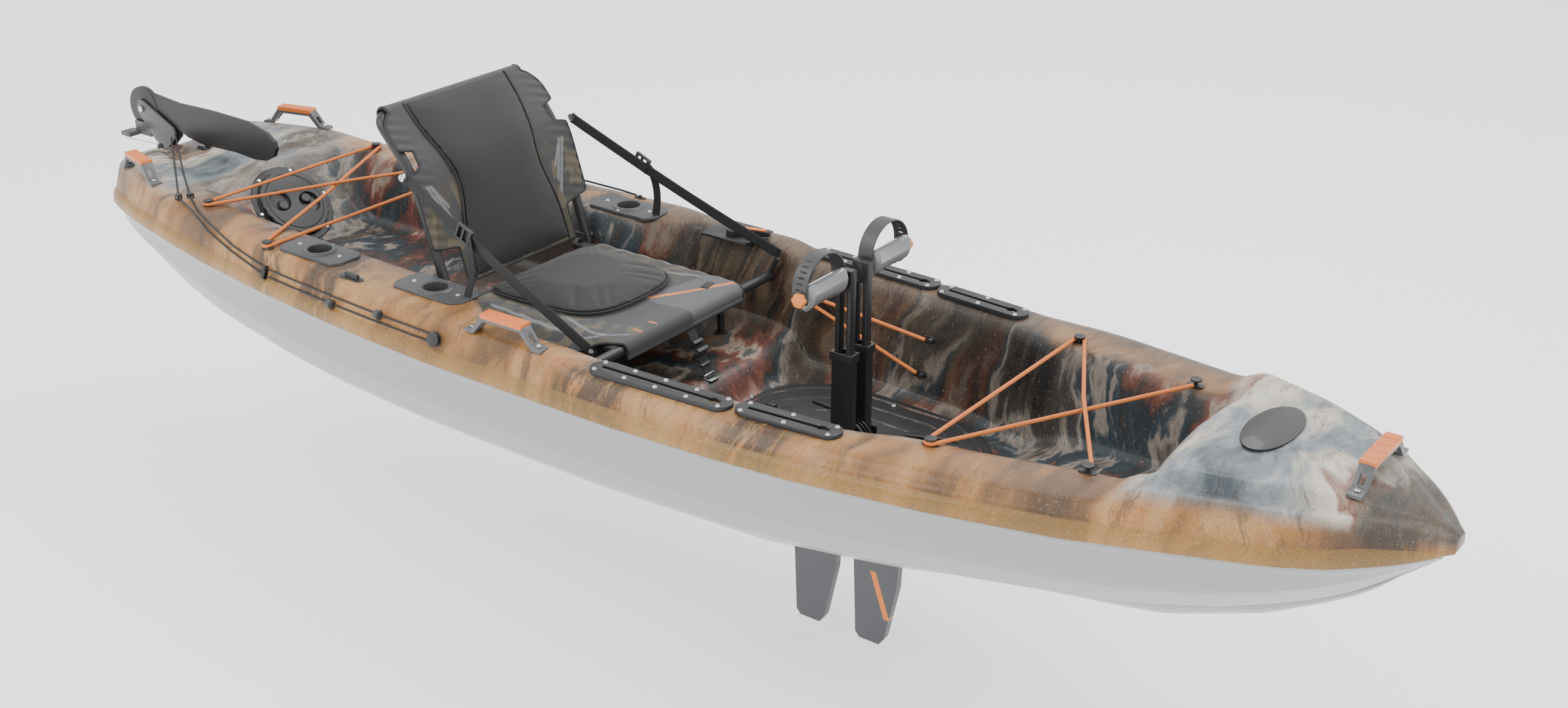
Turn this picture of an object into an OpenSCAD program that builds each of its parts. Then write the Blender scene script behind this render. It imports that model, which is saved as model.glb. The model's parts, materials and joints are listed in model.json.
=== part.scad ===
// Sit-on-top pedal fishing kayak: two thermoformed shells, a framed seat, a push-pedal
// fin drive, a stowed rudder and its deck hardware.  Millimetres.
// +X points to the bow, +Y to port, +Z up.  The origin is on the flat of the keel amidships.

/* [Hull and deck] */
// Length of the moulded shells, bow to stern
hull_len = 3230; // [2600:10:4000]
// Beam at the seam
hull_beam = 864; // [720:4:1040]
// Wall of the moulded shells
shell_wall = 4.5; // [3:0.5:6]

/* [Deck hardware] */
// Bore of a rod holder
rod_bore_d = 50; // [36:1:54]
// Depth of a rod holder below its flange
rod_tube_len = 150; // [80:5:200]
// Width of a gear track
track_w = 50; // [42:1:58]
// Slot width of a gear track
track_slot = 9; // [6:0.5:12]
// Screws that hold the gear tracks
track_screw_d = 5; // [3:0.5:6]
// Clear bore of the round hatch rim
hatch_d = 150; // [120:2:170]
// Diameter of a bungee cord
bungee_d = 8; // [6:0.5:9]
// Diameter of the rudder lift line
line_d = 4; // [3:0.5:5]

/* [Carry handles] */
// Height of a handle's grip above its feet
handle_h = 46; // [38:1:60]
// Width of a handle's band
handle_w = 26; // [20:1:32]
// Distance between the screws of a side handle
handle_span = 168; // [140:2:200]

/* [Rudder] */
// Radius of the pivot disc of the blade
disc_r = 54; // [44:1:62]
// Thickness of the pivot disc
disc_t = 14; // [10:1:18]
// Diameter of the blade's pivot pin
blade_pin_d = 10; // [6:1:14]
// Diameter of the pintle that the rudder head turns on
pintle_d = 12; // [8:1:16]

/* [Seat] */
// Outer diameter of the frame tubes
tube_d = 22; // [18:1:26]
// Half the distance between the side tubes of the seat
seat_half = 196; // [170:1:197]
// Height of the backrest along its slope
back_len = 405; // [330:5:480]
// Thickness of the cushions
pad_t = 26; // [18:1:32]

/* [Pedal drive] */
// Height of the pedal axles above the pedal shaft
pedal_arm = 358; // [300:2:420]
// Width of a pedal pad
pedal_w = 118; // [100:2:140]
// Length of a fin below its shaft
fin_len = 282; // [220:2:330]
// Chord of a fin at its root
fin_chord = 116; // [96:1:118]
// Diameter of the steel shaft that the fins swing on
fin_shaft_d = 12; // [8:1:14]
// Diameter of the shaft that the pedal arms swing on
pedal_shaft_d = 16; // [12:1:20]

/* [Fits] */
// Radial clearance of a turning fit
run_fit = 0.06; // [0.02:0.01:0.1]
// Gap between pieces that only sit on each other
seat_gap = 0.4; // [0.3:0.1:1]

/* [Hidden] */
$fn = 32;

kx = hull_len / 3230;
ky = hull_beam / 864;

// ---- Lines plan: half-breadths and heights against the distance from amidships ----
stations = [-1630, -1618, -1595, -1560, -1500, -1420, -1350, -1285, -1240, -1180, -1130,
            -1085, -980, -845, -740, -600, -480, -350, -300, -240, -140, -60, 0, 50, 80,
            110, 200, 300, 400, 470, 560, 620, 700, 763, 840, 930, 1010, 1060, 1100, 1135,
            1160, 1220, 1300, 1380, 1455, 1510, 1550, 1578, 1596, 1600];
beam_tab = [[-1630, 120], [-1618, 172], [-1595, 214], [-1560, 238], [-1500, 262],
            [-1411, 290], [-1237, 330], [-1087, 360], [-875, 390], [-673, 410],
            [-508, 422], [-318, 430], [-64, 432], [171, 432], [385, 426], [568, 414],
            [828, 388], [1059, 345], [1266, 280], [1380, 230], [1455, 182], [1527, 118],
            [1575, 62], [1596, 24], [1600, 14]];
seam_tab = [[-1630, 268], [-1531, 276], [-1087, 272], [-318, 262], [171, 264],
            [568, 272], [828, 284], [1059, 293], [1266, 300], [1452, 296], [1600, 300]];
gun_tab = [[-1630, 330], [-1618, 346], [-1595, 360], [-1560, 366], [-1350, 366],
           [-1240, 350], [-300, 350], [-240, 344], [0, 344], [50, 332], [640, 332],
           [763, 340], [1060, 348], [1100, 354], [1135, 380], [1300, 378],
           [1455, 366], [1510, 356], [1550, 344], [1600, 318]];
well_tab = [[-1630, 50], [-1560, 110], [-1350, 170], [-1180, 212], [-1085, 222],
            [-740, 240], [-350, 250], [-240, 334], [0, 334], [80, 312], [300, 312],
            [560, 296], [700, 252], [840, 236], [1060, 190], [1135, 205], [1160, 216],
            [1220, 218], [1300, 190], [1380, 150], [1455, 120], [1510, 78], [1550, 34],
            [1600, 4]];
floor_tab = [[-1630, 330], [-1618, 342], [-1560, 350], [-1285, 350], [-1130, 194],
             [-600, 182], [-480, 172], [80, 170], [110, 112], [700, 112], [763, 150],
             [1060, 190], [1135, 350], [1160, 385], [1220, 404], [1300, 400], [1380, 394],
             [1455, 383], [1510, 362], [1550, 347], [1600, 318]];
crown_tab = [[-1630, 330], [-1618, 344], [-1560, 352], [-1285, 352], [-1130, 194],
             [-600, 182], [-480, 172], [80, 170], [110, 112], [700, 112], [763, 150],
             [1060, 190], [1135, 380], [1160, 400], [1220, 416], [1300, 414], [1380, 408],
             [1455, 396], [1510, 372], [1550, 352], [1600, 320]];
keel_tab = [[-1630, 230], [-1595, 196], [-1500, 128], [-1420, 92], [-1285, 62],
            [-1130, 36], [-845, 12], [-600, 3], [-480, 0], [80, 0], [110, 2], [620, 2],
            [763, 2], [930, 3], [1060, 10], [1135, 19], [1300, 74], [1411, 134],
            [1475, 176], [1533, 234], [1559, 258], [1590, 284]];
bilge_y_tab = [[-1630, 70], [-1560, 120], [-1420, 160], [-1180, 215], [-740, 258],
               [0, 268], [400, 258], [700, 222], [930, 165], [1160, 96], [1300, 62],
               [1455, 34], [1550, 16], [1600, 4]];
bilge_z_tab = [[-1630, 240], [-1595, 206], [-1500, 142], [-1285, 80], [-1130, 52],
               [-845, 22], [-480, 6], [0, 6], [400, 16], [620, 32], [840, 54],
               [1060, 70], [1160, 78], [1300, 112], [1411, 158], [1475, 192],
               [1533, 240], [1559, 262], [1590, 286]];

function breadth(u) = lookup(u, beam_tab) * ky;
function seam_z(u) = lookup(u, seam_tab);
function gun_z(u) = lookup(u, gun_tab);
function well_y(u) = lookup(u, well_tab) * ky;
function soft(u) = min(1, breadth(u) / 150);

// Half section of the deck's outer face at station u, from the seam to the centreline
function deck_half(u) =
  let (b = breadth(u), s = seam_z(u), g = gun_z(u), k = soft(u), w = well_y(u),
       f = lookup(u, floor_tab), c = lookup(u, crown_tab), m = min(1, max(0, (g - f) / 60)),
       run = (14 + 24 * m) * k)
  [[b, s], [b - 3 * k, s + 22 * k], [b - 13 * k, s + 32 * k], [b - 26 * k, g - 14 * k],
   [b - 40 * k, g], [w + 14 * k, g], [w, g - 14 * m], [w - run * k, f + 14 * m],
   [w * 0.93 - run * k, f], [w * 0.45, (f + 2 * c) / 3], [0, c]];

// Half section of the hull's outer face, from the seam to the keel
function hull_half(u) =
  let (b = breadth(u), s = seam_z(u), k = soft(u), yb = min(lookup(u, bilge_y_tab) * ky, b - 6),
       zb = lookup(u, bilge_z_tab), zk = lookup(u, keel_tab), d = s - zb)
  [[b - 4 * k, s - seat_gap], [b - 8 * k, s - 18 * k], [b - 18 * k, s - 0.38 * d],
   [b - 26 * k, s - 0.42 * d], [yb + (b - yb) * 0.62 - 8 * k, s - 0.72 * d],
   [yb + 12 * k, zb + 12 * k], [yb - 14 * k, zb], [yb * 0.72, (zb + zk) / 2],
   [yb * 0.4, zk], [0, zk]];

function unit(v) = v / max(norm(v), 1e-6);
// Moves a half section towards the inside of its shell by t; side is 1 for the deck, -1 for the hull
function inset(p, t, side) = [for (i = [0 : len(p) - 1])
  let (d = unit(p[min(i + 1, len(p) - 1)] - p[max(i - 1, 0)]))
  i == 0 ? [p[0][0] - t, p[0][1]] :
  i == len(p) - 1 ? [0, p[i][1] - side * t] : p[i] + t * side * [-d[1], d[0]]];
// A whole section at x, port rim to starboard rim
function whole(x, h) = concat([for (p = h) [x, p[0], p[1]]],
                              [for (i = [len(h) - 2 : -1 : 0]) [x, -h[i][0], h[i][1]]]);

// Closed shell between an outer and an inner skin; each is a list of whole sections
module shell(outer, inner, flip) {
  n = len(outer);
  m = len(outer[0]);
  q = n * m;
  e = (n - 1) * m;
  grid = [for (i = [0 : n - 2], j = [0 : m - 2])
          let (a = i * m + j, b = a + 1, c = b + m, d = a + m)
          each [[a, d, c], [a, c, b], [q + a, q + c, q + d], [q + a, q + b, q + c]]];
  rims = [for (i = [0 : n - 2]) let (a = i * m, d = a + m, b = a + m - 1, c = b + m)
          each [[d, a, q + a], [d, q + a, q + d], [b, c, q + c], [b, q + c, q + b]]];
  ends = [[for (j = [0 : m - 1]) j], [for (j = [m - 1 : -1 : 0]) q + j],
          [0, m - 1, q + m - 1, q], [for (j = [m - 1 : -1 : 0]) e + j],
          [for (j = [0 : m - 1]) q + e + j], [e + m - 1, e, q + e, q + e + m - 1]];
  faces = concat(grid, rims, ends);
  polyhedron(points = concat([for (s = outer, p = s) p], [for (s = inner, p = s) p]),
             faces = flip ? [for (f = faces) [for (k = [len(f) - 1 : -1 : 0]) f[k]]] : faces,
             convexity = 8);
}

// Round cord or tube of radius r swept along a path, with n sides and flat ends
function ring(p, t, r, n) =
  let (s = unit(cross(abs(t[2]) > 0.95 ? [1, 0, 0] : [0, 0, 1], t)), u = cross(t, s))
  [for (k = [0 : n - 1]) p + r * (cos(360 * k / n) * s + sin(360 * k / n) * u)];
module cord(path, r, n = 8) {
  l = len(path);
  rings = [for (i = [0 : l - 1])
           ring(path[i], unit(unit(path[min(i + 1, l - 1)] - path[i]) +
                              unit(path[i] - path[max(i - 1, 0)])), r, n)];
  faces = concat([[for (k = [0 : n - 1]) k]],
    [for (i = [0 : l - 2], k = [0 : n - 1]) let (a = i * n + k, b = i * n + (k + 1) % n)
     each [[a, a + n, b + n], [a, b + n, b]]],
    [[for (k = [n - 1 : -1 : 0]) (l - 1) * n + k]]);
  polyhedron(points = [for (s = rings, p = s) p], faces = faces, convexity = 8);
}
// Straight round bar between two points
module bar(a, b, r) {
  v = b - a;
  translate(a) rotate([0, acos(v[2] / norm(v)), atan2(v[1], v[0])]) cylinder(r = r, h = norm(v));
}
// Places children at both sides of the centreline, mirrored
module both() {
  children();
  mirror([0, 1, 0]) children();
}
// A flat plate with round ends, centred, along X
module stadium(l, w, h) {
  translate([w / 2 - l / 2, 0, 0]) cylinder(d = w, h = h);
  translate([l / 2 - w / 2, 0, 0]) cylinder(d = w, h = h);
  translate([w / 2 - l / 2, -w / 2, 0]) cube([l - w, w, h]);
}
// Pan-head screw; its head stands on z = 0 and its shank goes down
module screw(d, l) {
  cylinder(d1 = 2 * d, d2 = 1.4 * d, h = 0.5 * d, $fn = 24);
  translate([0, 0, -l]) cylinder(d = d, h = l + 0.1, $fn = 24);
}

// ---- Places on the deck, given at the design length and beam ----
track_h = 12;
tracks = [[231, 363, 320, -2.4, 5], [506, 339, 218, -4.6, 3]]; // x, y, length, yaw, screw rows
rods = [[-758, 303], [-408, 305]];
rod_flange = [190, 88, 8];
hatch_at = [-1207.5, 273];
hatch_tilt = atan2(158, 155 * kx);
drive_x = 415;
well = [-150, 146, 50];      // aft and forward ends from the pedal shaft, half width inside
well_wall = 4;
plate_z = 112;
plate_t = 6;
shaft_z = 138;
fin_z = -22;
fin_gap = 30;
seat_z = 285;
hinge = [-462, 300];
bend = [-540, 545];
rudder_x = -1630 * kx - 22;
pivot = [rudder_x - 76, 420];
bow_pts = [[1036, -212], [763, 273], [763, -273], [1036, 212]];
stern_pts = [[-1180, -257], [-1180, 257], [-872, -350], [-872, 350]];
side_pts = [[425, 271, 262], [412, 262, 184], [110, 286, 276]];

function at(p) = [p[0] * kx, p[1] * ky, gun_z(p[0]) + seat_gap];
cord_up = 4.4 + bungee_d / 2;
function eye(p) = at(p) + [0, 0, cord_up + 0.3];

// ---- Shells ----
module deck_slots() {
  for (s = [-1, 1], r = rods)
    translate([r[0] * kx, s * r[1] * ky, 250]) cylinder(d = rod_bore_d + 8, h = 150);
  hatch_frame() translate([0, 0, -60]) cylinder(d = hatch_d + 12, h = 120);
  translate([drive_x * kx + well[0] - well_wall - 0.5, -well[2] - well_wall - 0.5, 60])
    cube([well[1] - well[0] + 2 * well_wall + 1, 2 * (well[2] + well_wall) + 1, 80]);
}
module deck_shell() color("peru") difference() {
  shell([for (u = stations) whole(u * kx, deck_half(u))],
        [for (u = stations) let (v = min(max(u, -1621), 1572))
         whole(v * kx + (u - v) * 0.05, inset(deck_half(v), shell_wall, 1))], false);
  deck_slots();
}
hull_stations = [-1630, -1618, -1595, -1560, -1500, -1420, -1285, -1130, -985, -845, -600,
                 -480, -240, 80, 110, 300, 470, 620, 763, 930, 1060, 1135, 1220, 1300, 1411,
                 1475, 1533, 1559, 1580, 1590];
slot_half = 34;
module hull_shell() color("lightgray") difference() {
  shell([for (u = hull_stations) whole(u * kx, hull_half(u))],
        [for (u = hull_stations) let (v = min(max(u, -1621), 1556))
         whole(v * kx + (u - v) * 0.05, inset(hull_half(v), shell_wall, -1))], true);
  translate([drive_x * kx + well[0], -slot_half, -20]) cube([well[1] - well[0], 2 * slot_half, 60]);
}
well_floor = 2 + shell_wall + 0.6;
module drive_well() color("dimgray") translate([drive_x * kx, 0, 0]) difference() {
  translate([well[0] - well_wall, -well[2] - well_wall, well_floor])
    cube([well[1] - well[0] + 2 * well_wall, 2 * (well[2] + well_wall), plate_z - well_floor]);
  translate([well[0], -well[2], well_floor + 4]) cube([well[1] - well[0], 2 * well[2], 200]);
  translate([well[0] + 0.5, -slot_half, 0]) cube([well[1] - well[0] - 1, 2 * slot_half, 20]);
}
plate_screws = [[-300, 76], [-36, 228]];
function plate_half(x) = x < 0 ? 252 * sqrt(max(0, 1 - pow(x / -318, 3.4)))
                               : 252 * sqrt(max(0, 1 - pow(x / 290, 2.2)));
plate_x = [for (i = [0 : 24]) -302 + 580 * (1 - cos(i * 7.5)) / 2];
module drive_plate() color("#2b2b2d") translate([drive_x * kx, 0, plate_z + seat_gap]) difference() {
  linear_extrude(plate_t)
    polygon(concat([for (i = [0 : 24]) [plate_x[i] * kx, min(plate_half(plate_x[i]), 240) * ky]],
                   [for (i = [24 : -1 : 0]) [plate_x[i] * kx, -min(plate_half(plate_x[i]), 240) * ky]]));
  translate([well[0] + 4, -well[2] - 1, -1]) cube([well[1] - well[0] - 8, 2 * well[2] + 2, 20]);
  both() for (p = plate_screws) translate([p[0], p[1] * ky * 0.94, -1]) cylinder(d = 7, h = 20);
}
module emblem_plate() color("black") translate([1270 * kx, 0, lookup(1270, crown_tab) + 1.4])
  rotate([0, 1.4, 0]) intersection() {
    linear_extrude(3) polygon([for (a = [0 : 10 : 350]) [44 * cos(a), 96 * sin(a)]]);
    translate([-60, -120, -5]) cube([120, 240, 20]);
  }

// ---- Round hatch on the sloping bulkhead ----
module hatch_frame() translate([hatch_at[0] * kx, 0, hatch_at[1]]) rotate([0, hatch_tilt, 0]) children();
module hatch_rim() color("#303032") hatch_frame() difference() {
  union() {
    translate([0, 0, 1]) cylinder(d = hatch_d + 58, h = 7);
    translate([0, 0, -28]) cylinder(d = hatch_d + 10, h = 30);
  }
  translate([0, 0, -30]) cylinder(d = hatch_d, h = 60);
  for (a = [30 : 60 : 330]) rotate([0, 0, a]) translate([hatch_d / 2 + 20, 0, -2])
    cylinder(d = 5.4, h = 20, $fn = 24);
}
module hatch_seal() color("#111111") hatch_frame() translate([0, 0, 8.4]) difference() {
  cylinder(d = hatch_d + 14, h = 3);
  translate([0, 0, -1]) cylinder(d = hatch_d + 4, h = 6);
}
module hatch_lid() color("#202022") hatch_frame() difference() {
  union() {
    translate([0, 0, 11.8]) cylinder(d = hatch_d + 24, h = 9);
    translate([0, 0, -14]) cylinder(d = hatch_d - 2, h = 27);
  }
  translate([0, 0, -16]) cylinder(d = hatch_d - 12, h = 22);
  for (s = [-1, 1]) rotate([0, 0, 62]) translate([s * hatch_d * 0.25, 0, 11])
    cylinder(d = hatch_d * 0.36, h = 20);
}

// ---- Rod holders ----
rod_screws = [[-62, 0], [62, 0], [0, -36]];
module rod_holder() difference() {
  union() {
    intersection() {
      for (s = [-1, 1]) translate([0, s * (rod_flange[0] * 0.42 - rod_flange[1] / 2), 0])
        cylinder(r = rod_flange[0] * 0.42 + 32, h = rod_flange[2], $fn = 64);
      translate([-rod_flange[0] / 2, -rod_flange[1] / 2, 0]) cube(rod_flange);
    }
    translate([0, 0, -rod_tube_len]) cylinder(d = rod_bore_d + 6, h = rod_tube_len + 1);
  }
  translate([0, 0, 4 - rod_tube_len]) cylinder(d = rod_bore_d, h = rod_tube_len + 20);
  for (p = rod_screws) translate([p[0], p[1], -1]) cylinder(d = 5.4, h = 20, $fn = 24);
}
module rod_holders() color("#4a4a4e") both() for (r = rods) translate(at(r)) rod_holder();

// ---- Gear tracks ----
module gear_track(t) {
  pitch = (t[2] - 36) / (t[4] - 1);
  difference() {
    stadium(t[2], track_w, track_h);
    translate([-t[2] / 2 + 24, -track_slot / 2, 3]) cube([t[2] - 48, track_slot, 20]);
    translate([-t[2] / 2 + 24, -track_slot, 3]) cube([t[2] - 48, 2 * track_slot, 5]);
    translate([t[2] / 2 - 40, 0, 3]) cylinder(r = track_slot, h = 20);
    for (i = [0 : t[4] - 1], s = [-1, 1]) translate([i * pitch + 18 - t[2] / 2, s * (track_w / 2 - 7.5), -1])
      cylinder(d = track_screw_d + 0.4, h = 30, $fn = 24);
  }
}
module gear_tracks() color("#2e2e30") both() for (t = tracks)
  translate(at(t)) rotate([0, 0, t[3]]) gear_track(t);

// ---- Carry handles: span s, drawn along X with feet on z = 0 ----
module handle(s) difference() {
  rotate([90, 0, 0]) translate([0, 0, -handle_w / 2]) linear_extrude(handle_w) difference() {
    polygon([[-s / 2 - 15, 0], [-s / 2 - 15, 6], [-s / 2 + 6, 9], [-s / 2 + 30, handle_h - 4],
             [-s / 2 + 38, handle_h], [s / 2 - 38, handle_h], [s / 2 - 30, handle_h - 4],
             [s / 2 - 6, 9], [s / 2 + 15, 6], [s / 2 + 15, 0], [s / 2 - 9, 0],
             [s / 2 - 37, handle_h - 14], [37 - s / 2, handle_h - 14], [9 - s / 2, 0]]);
  }
  for (k = [-1, 1]) {
    translate([k * s / 2, 0, -1]) cylinder(d = 6.4, h = 20, $fn = 24);
    translate([k * (s / 2 - 23), 0, handle_h * 0.42]) cube([26, handle_w * 0.42, 19], center = true);
  }
}
module grip(s) translate([37 - s / 2, -handle_w / 2 - 1.5, handle_h - 14.4 - 4])
  difference() { cube([s - 74, handle_w + 3, 22.8]); translate([-1, 1, 3.9]) cube([s, handle_w + 1, 15]); }
// x, y, yaw, span and lift above the gunwale of each handle
handles = [[1455, 0, 90, 186 * ky, 24], [-133, -390, 1.5, handle_span, 0.6],
           [-1444, -240, -15, 158, 0.6], [-1444, 240, 15, 158, 0.6]];
module handle_place(i) let (h = handles[i])
  translate([h[0] * kx, h[1] * ky, gun_z(h[0]) + h[4]]) rotate([0, 0, h[2]]) children();
module one_handle(i) color("#55565a") handle_place(i) handle(handles[i][3]);
module handle_bow() one_handle(0);
module handle_stbd() one_handle(1);
module handle_stern_stbd() one_handle(2);
module handle_stern_port() one_handle(3);
module handle_grips() color("#e0702a") for (i = [0 : 3]) handle_place(i) grip(handles[i][3]);

module deck_screws() color("silver") {
  both() for (t = tracks) translate(at(t)) rotate([0, 0, t[3]]) translate([0, 0, track_h + 0.1])
    for (i = [0 : t[4] - 1], s = [-1, 1])
      translate([i * (t[2] - 36) / (t[4] - 1) + 18 - t[2] / 2, s * (track_w / 2 - 7.5), 0])
        screw(track_screw_d, track_h);
  both() for (r = rods, p = rod_screws)
    translate(at(r) + [p[0], p[1], rod_flange[2] + 0.1]) screw(5, rod_flange[2]);
  hatch_frame() for (a = [30 : 60 : 330])
    rotate([0, 0, a]) translate([hatch_d / 2 + 20, 0, 8.1]) screw(5, 7);
  for (i = [0 : 3], k = [-1, 1]) handle_place(i) translate([k * handles[i][3] / 2, 0, 9.3]) screw(6, 9.3);
  translate([drive_x * kx, 0, plate_z + seat_gap + plate_t + 0.1])
    both() for (p = plate_screws) translate([p[0], p[1] * ky * 0.94, 0]) screw(6.5, plate_t);
}

// ---- Bungee cords and the posts that they go round ----
post_r = 4;
function turn(v, a) = [v[0] * cos(a) - v[1] * sin(a), v[0] * sin(a) + v[1] * cos(a), v[2]];
// Five points that take a cord round the far side of a post between two neighbours
function wrap(p, a, b, r) =
  let (u = unit([a[0] - p[0], a[1] - p[1], 0]), v = unit([b[0] - p[0], b[1] - p[1], 0]),
       s = sign(cross(u, v)[2]), sweep = 180 - acos(u * v), k = (post_r + r + 0.8) / cos(sweep / 8))
  [for (i = [0 : 4]) p + k * turn(u, -s * (90 + sweep * i / 4))];
module bow_bungee() color("#e0702a") {
  c = eye(bow_pts[0]); b = eye(bow_pts[1]); a = eye(bow_pts[2]); d = eye(bow_pts[3]);
  r = bungee_d / 2;
  cord(concat([c + [0, 14, 0], (c + b) / 2 + [0, 0, 1.1 * r]], wrap(b, c, a, r), wrap(a, b, d, r),
              [(a + d) / 2 - [0, 0, 1.1 * r], d - [0, 14, 0]]), r);
}
module stern_bungee() color("#e0702a") {
  e = eye(stern_pts[0]); f = eye(stern_pts[1]); g = eye(stern_pts[2]); h = eye(stern_pts[3]);
  r = bungee_d / 2;
  we = wrap(e, h, f, r); wf = wrap(f, e, g, r); wg = wrap(g, f, h, r); wh = wrap(h, g, e, r);
  cord(concat([(wh[3] + wh[4]) / 2, wh[4], (e + h) / 2 + [0, 0, 1.2 * r]], we, wf,
              [(f + g) / 2 - [0, 0, 1.2 * r]], wg, [for (i = [0 : 3]) wh[i]]), r);
}
function side_post(i) = [side_pts[i][0] * kx + (i == 2 ? -8 : 8), side_pts[i][1] * ky - 13, side_pts[i][2]];
module side_bungee() color("#e0702a") for (i = [0, 1])
  let (a = side_post(2) + [0, 0, 6 - 12 * i], b = side_post(i))
  cord([a + unit(b - a) * 15, b - unit(b - a) * 12], bungee_d / 2);
module button_post() {
  stadium(34, 15, 4);
  cylinder(r = post_r, h = 8 + bungee_d);
  translate([0, 0, 5.4 + bungee_d]) cylinder(r = post_r + 7, h = 3);
}
module bungee_anchors() color("#1c1c1e") {
  for (p = concat(bow_pts, stern_pts)) translate(at(p) + [0, 0, 0.3]) button_post();
  for (i = [0 : 2]) translate(side_post(i) + [0, 9, 0]) rotate([90, 0, 0]) {
    translate([i == 2 ? 8 : -8, 0, 0]) stadium(34, 16, 3);
    cylinder(r = 6, h = 14);
  }
}

module paddle_keeper() color("#151515") {
  for (u = [-690, -430]) translate(at([u, 372]) + [0, 0, 0.3]) {
    stadium(30, 16, 4);
    cylinder(r = 5, h = 9);
  }
  cord([at([-680, 372]) + [0, 0, 8], at([-640, 366]) + [0, 0, 13], at([-560, 362]) + [0, 0, 15],
        at([-480, 366]) + [0, 0, 13], at([-440, 372]) + [0, 0, 8]], 2.5);
}

// ---- Rudder ----
ear_t = 8;
module rudder_bracket() color("#3a3a3d") difference() {
  union() {
    translate([rudder_x + 15, -26, 277]) cube([5, 52, 49]);
    for (z = [286, 318]) {
      translate([rudder_x, -16, z]) cube([18, 32, ear_t]);
      translate([rudder_x, 0, z]) cylinder(r = 16, h = ear_t);
    }
  }
  translate([rudder_x, 0, 270]) cylinder(d = pintle_d + 2 * run_fit, h = 90);
}
module rudder_pintle() color("silver") translate([rudder_x, 0, 280]) {
  cylinder(d = pintle_d, h = 58);
  translate([0, 0, -4]) cylinder(d = pintle_d + 8, h = 4.5);
}
cheek_in = disc_t / 2 + 1;
cheek_t = 5;
module rudder_head() color("#4c4d50") difference() {
  union() {
    for (s = [-1, 1]) translate([0, s * (cheek_in + cheek_t / 2) + cheek_t / 2, 0])
      rotate([90, 0, 0]) linear_extrude(cheek_t)
      polygon([[pivot[0] - 16, pivot[1] + 14], [pivot[0] - 4, pivot[1] + 24], [pivot[0] + 12, pivot[1] + 20],
               [rudder_x + 40, 392], [rudder_x + 46, 380], [rudder_x + 43, 366], [rudder_x + 12, 336],
               [rudder_x - 18, 334], [rudder_x - 36, 346], [pivot[0] - 20, pivot[1] - 8]]);
    translate([rudder_x - 18, -cheek_in - cheek_t, 328]) cube([30, 2 * (cheek_in + cheek_t), 14]);
    translate([pivot[0] - 52, -46, 350]) cube([34, 92, 10]);
    for (s = [-1, 1]) translate([pivot[0] - 36, s * (cheek_in + 2) - 2.5, 350]) cube([60, 5, 34]);
  }
  translate([pivot[0], 40, pivot[1]]) rotate([90, 0, 0]) cylinder(d = blade_pin_d + 2 * run_fit, h = 80);
  translate([rudder_x, 0, 320]) cylinder(d = pintle_d + 2 * run_fit, h = 18.5);
  translate([pivot[0] - 60, -cheek_in - 0.5, 340]) cube([60, 2 * cheek_in + 1, 40]);
  for (s = [-1, 1]) translate([pivot[0] - 44, s * 38, 340]) cylinder(d = 5, h = 30, $fn = 24);
  translate([pivot[0], disc_t / 2 + 1, pivot[1]]) rotate([90, 0, 0]) cylinder(r = disc_r + 2, h = disc_t + 2);
}
module blade_pin() color("silver") translate([pivot[0], 0, pivot[1]]) rotate([90, 0, 0])
  translate([0, 0, -cheek_in - cheek_t - 5]) {
    cylinder(d = blade_pin_d, h = 2 * (cheek_in + cheek_t) + 10);
    for (z = [0, 2 * (cheek_in + cheek_t) + 6]) translate([0, 0, z]) cylinder(d = blade_pin_d + 6, h = 4);
  }
module rudder_blade() color("#161617") translate([pivot[0], 0, pivot[1]]) difference() {
  rotate([90, 0, 0]) union() {
    translate([0, 0, -disc_t / 2]) cylinder(r = disc_r, h = disc_t, $fn = 64);
    translate([0, 0, -5]) linear_extrude(10)
      polygon([[20, 44], [135, 36], [260, 40], [391, 38], [460, 22], [486, 6], [491, -10], [480, -32],
               [450, -48], [408, -53], [340, -49], [214, -54], [160, -46], [100, -22], [40, -34], [0, -20]]);
  }
  translate([0, 40, 0]) rotate([90, 0, 0]) cylinder(d = blade_pin_d + 2 * run_fit, h = 80);
}
module rudder_cradle() color("#1c1c1e") translate([-1514 * kx, 0, 352.6]) {
  translate([-16, -15, 0]) cube([32, 30, 4]);
  for (s = [-1, 1]) translate([-8, s * 11 - 3, 0]) cube([16, 6, 11]);
}
line_up = 4 + line_d / 2;
// Point outside the starboard shoulder at station u: h below the crest, off away from the face
function side(u, h, off) =
  let (b = breadth(u), g = gun_z(u), t = h > 14 ? 17 : 67.5 - 2.5 * max(h, 0))
  [u * kx, -(h > 14 ? b - 26 + 13 * (h - 14) / (g - seam_z(u) - 46) : b - 40 + h) - off * cos(t),
   g - max(h, 0) + off * sin(t)];
module on_side(u, h) translate(side(u, h, 3.2)) rotate([73, 0, 0]) children();
side_us = [-740, -600, -480, -350, -318];
line_off = line_d / 2 + 5;
low_h = 47;
high_h = 32;
module lift_line() color("#222222") {
  cord(concat([[rudder_x + 52, -30, 373], [-1352 * kx, -210 * ky, 371], at([-1262, -276]) + [0, 0, line_up]],
              [side(-1180, 0, line_off), side(-1085, 14, line_off), side(-980, 30, line_off),
               side(-845, low_h, line_off)],
              [for (u = side_us) side(u, low_h, line_off)]), line_d / 2);
  cord(concat([[rudder_x + 56, -20, 375], [-1352 * kx, -188 * ky, 371], at([-1250, -252]) + [0, 0, line_up]],
              [side(-1180, -14, line_off), side(-1130, 0, line_off), side(-1085, 5, line_off),
               side(-980, 18, line_off), side(-845, high_h, line_off)],
              [for (u = side_us) side(u, high_h, line_off)]), line_d / 2);
}
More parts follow.
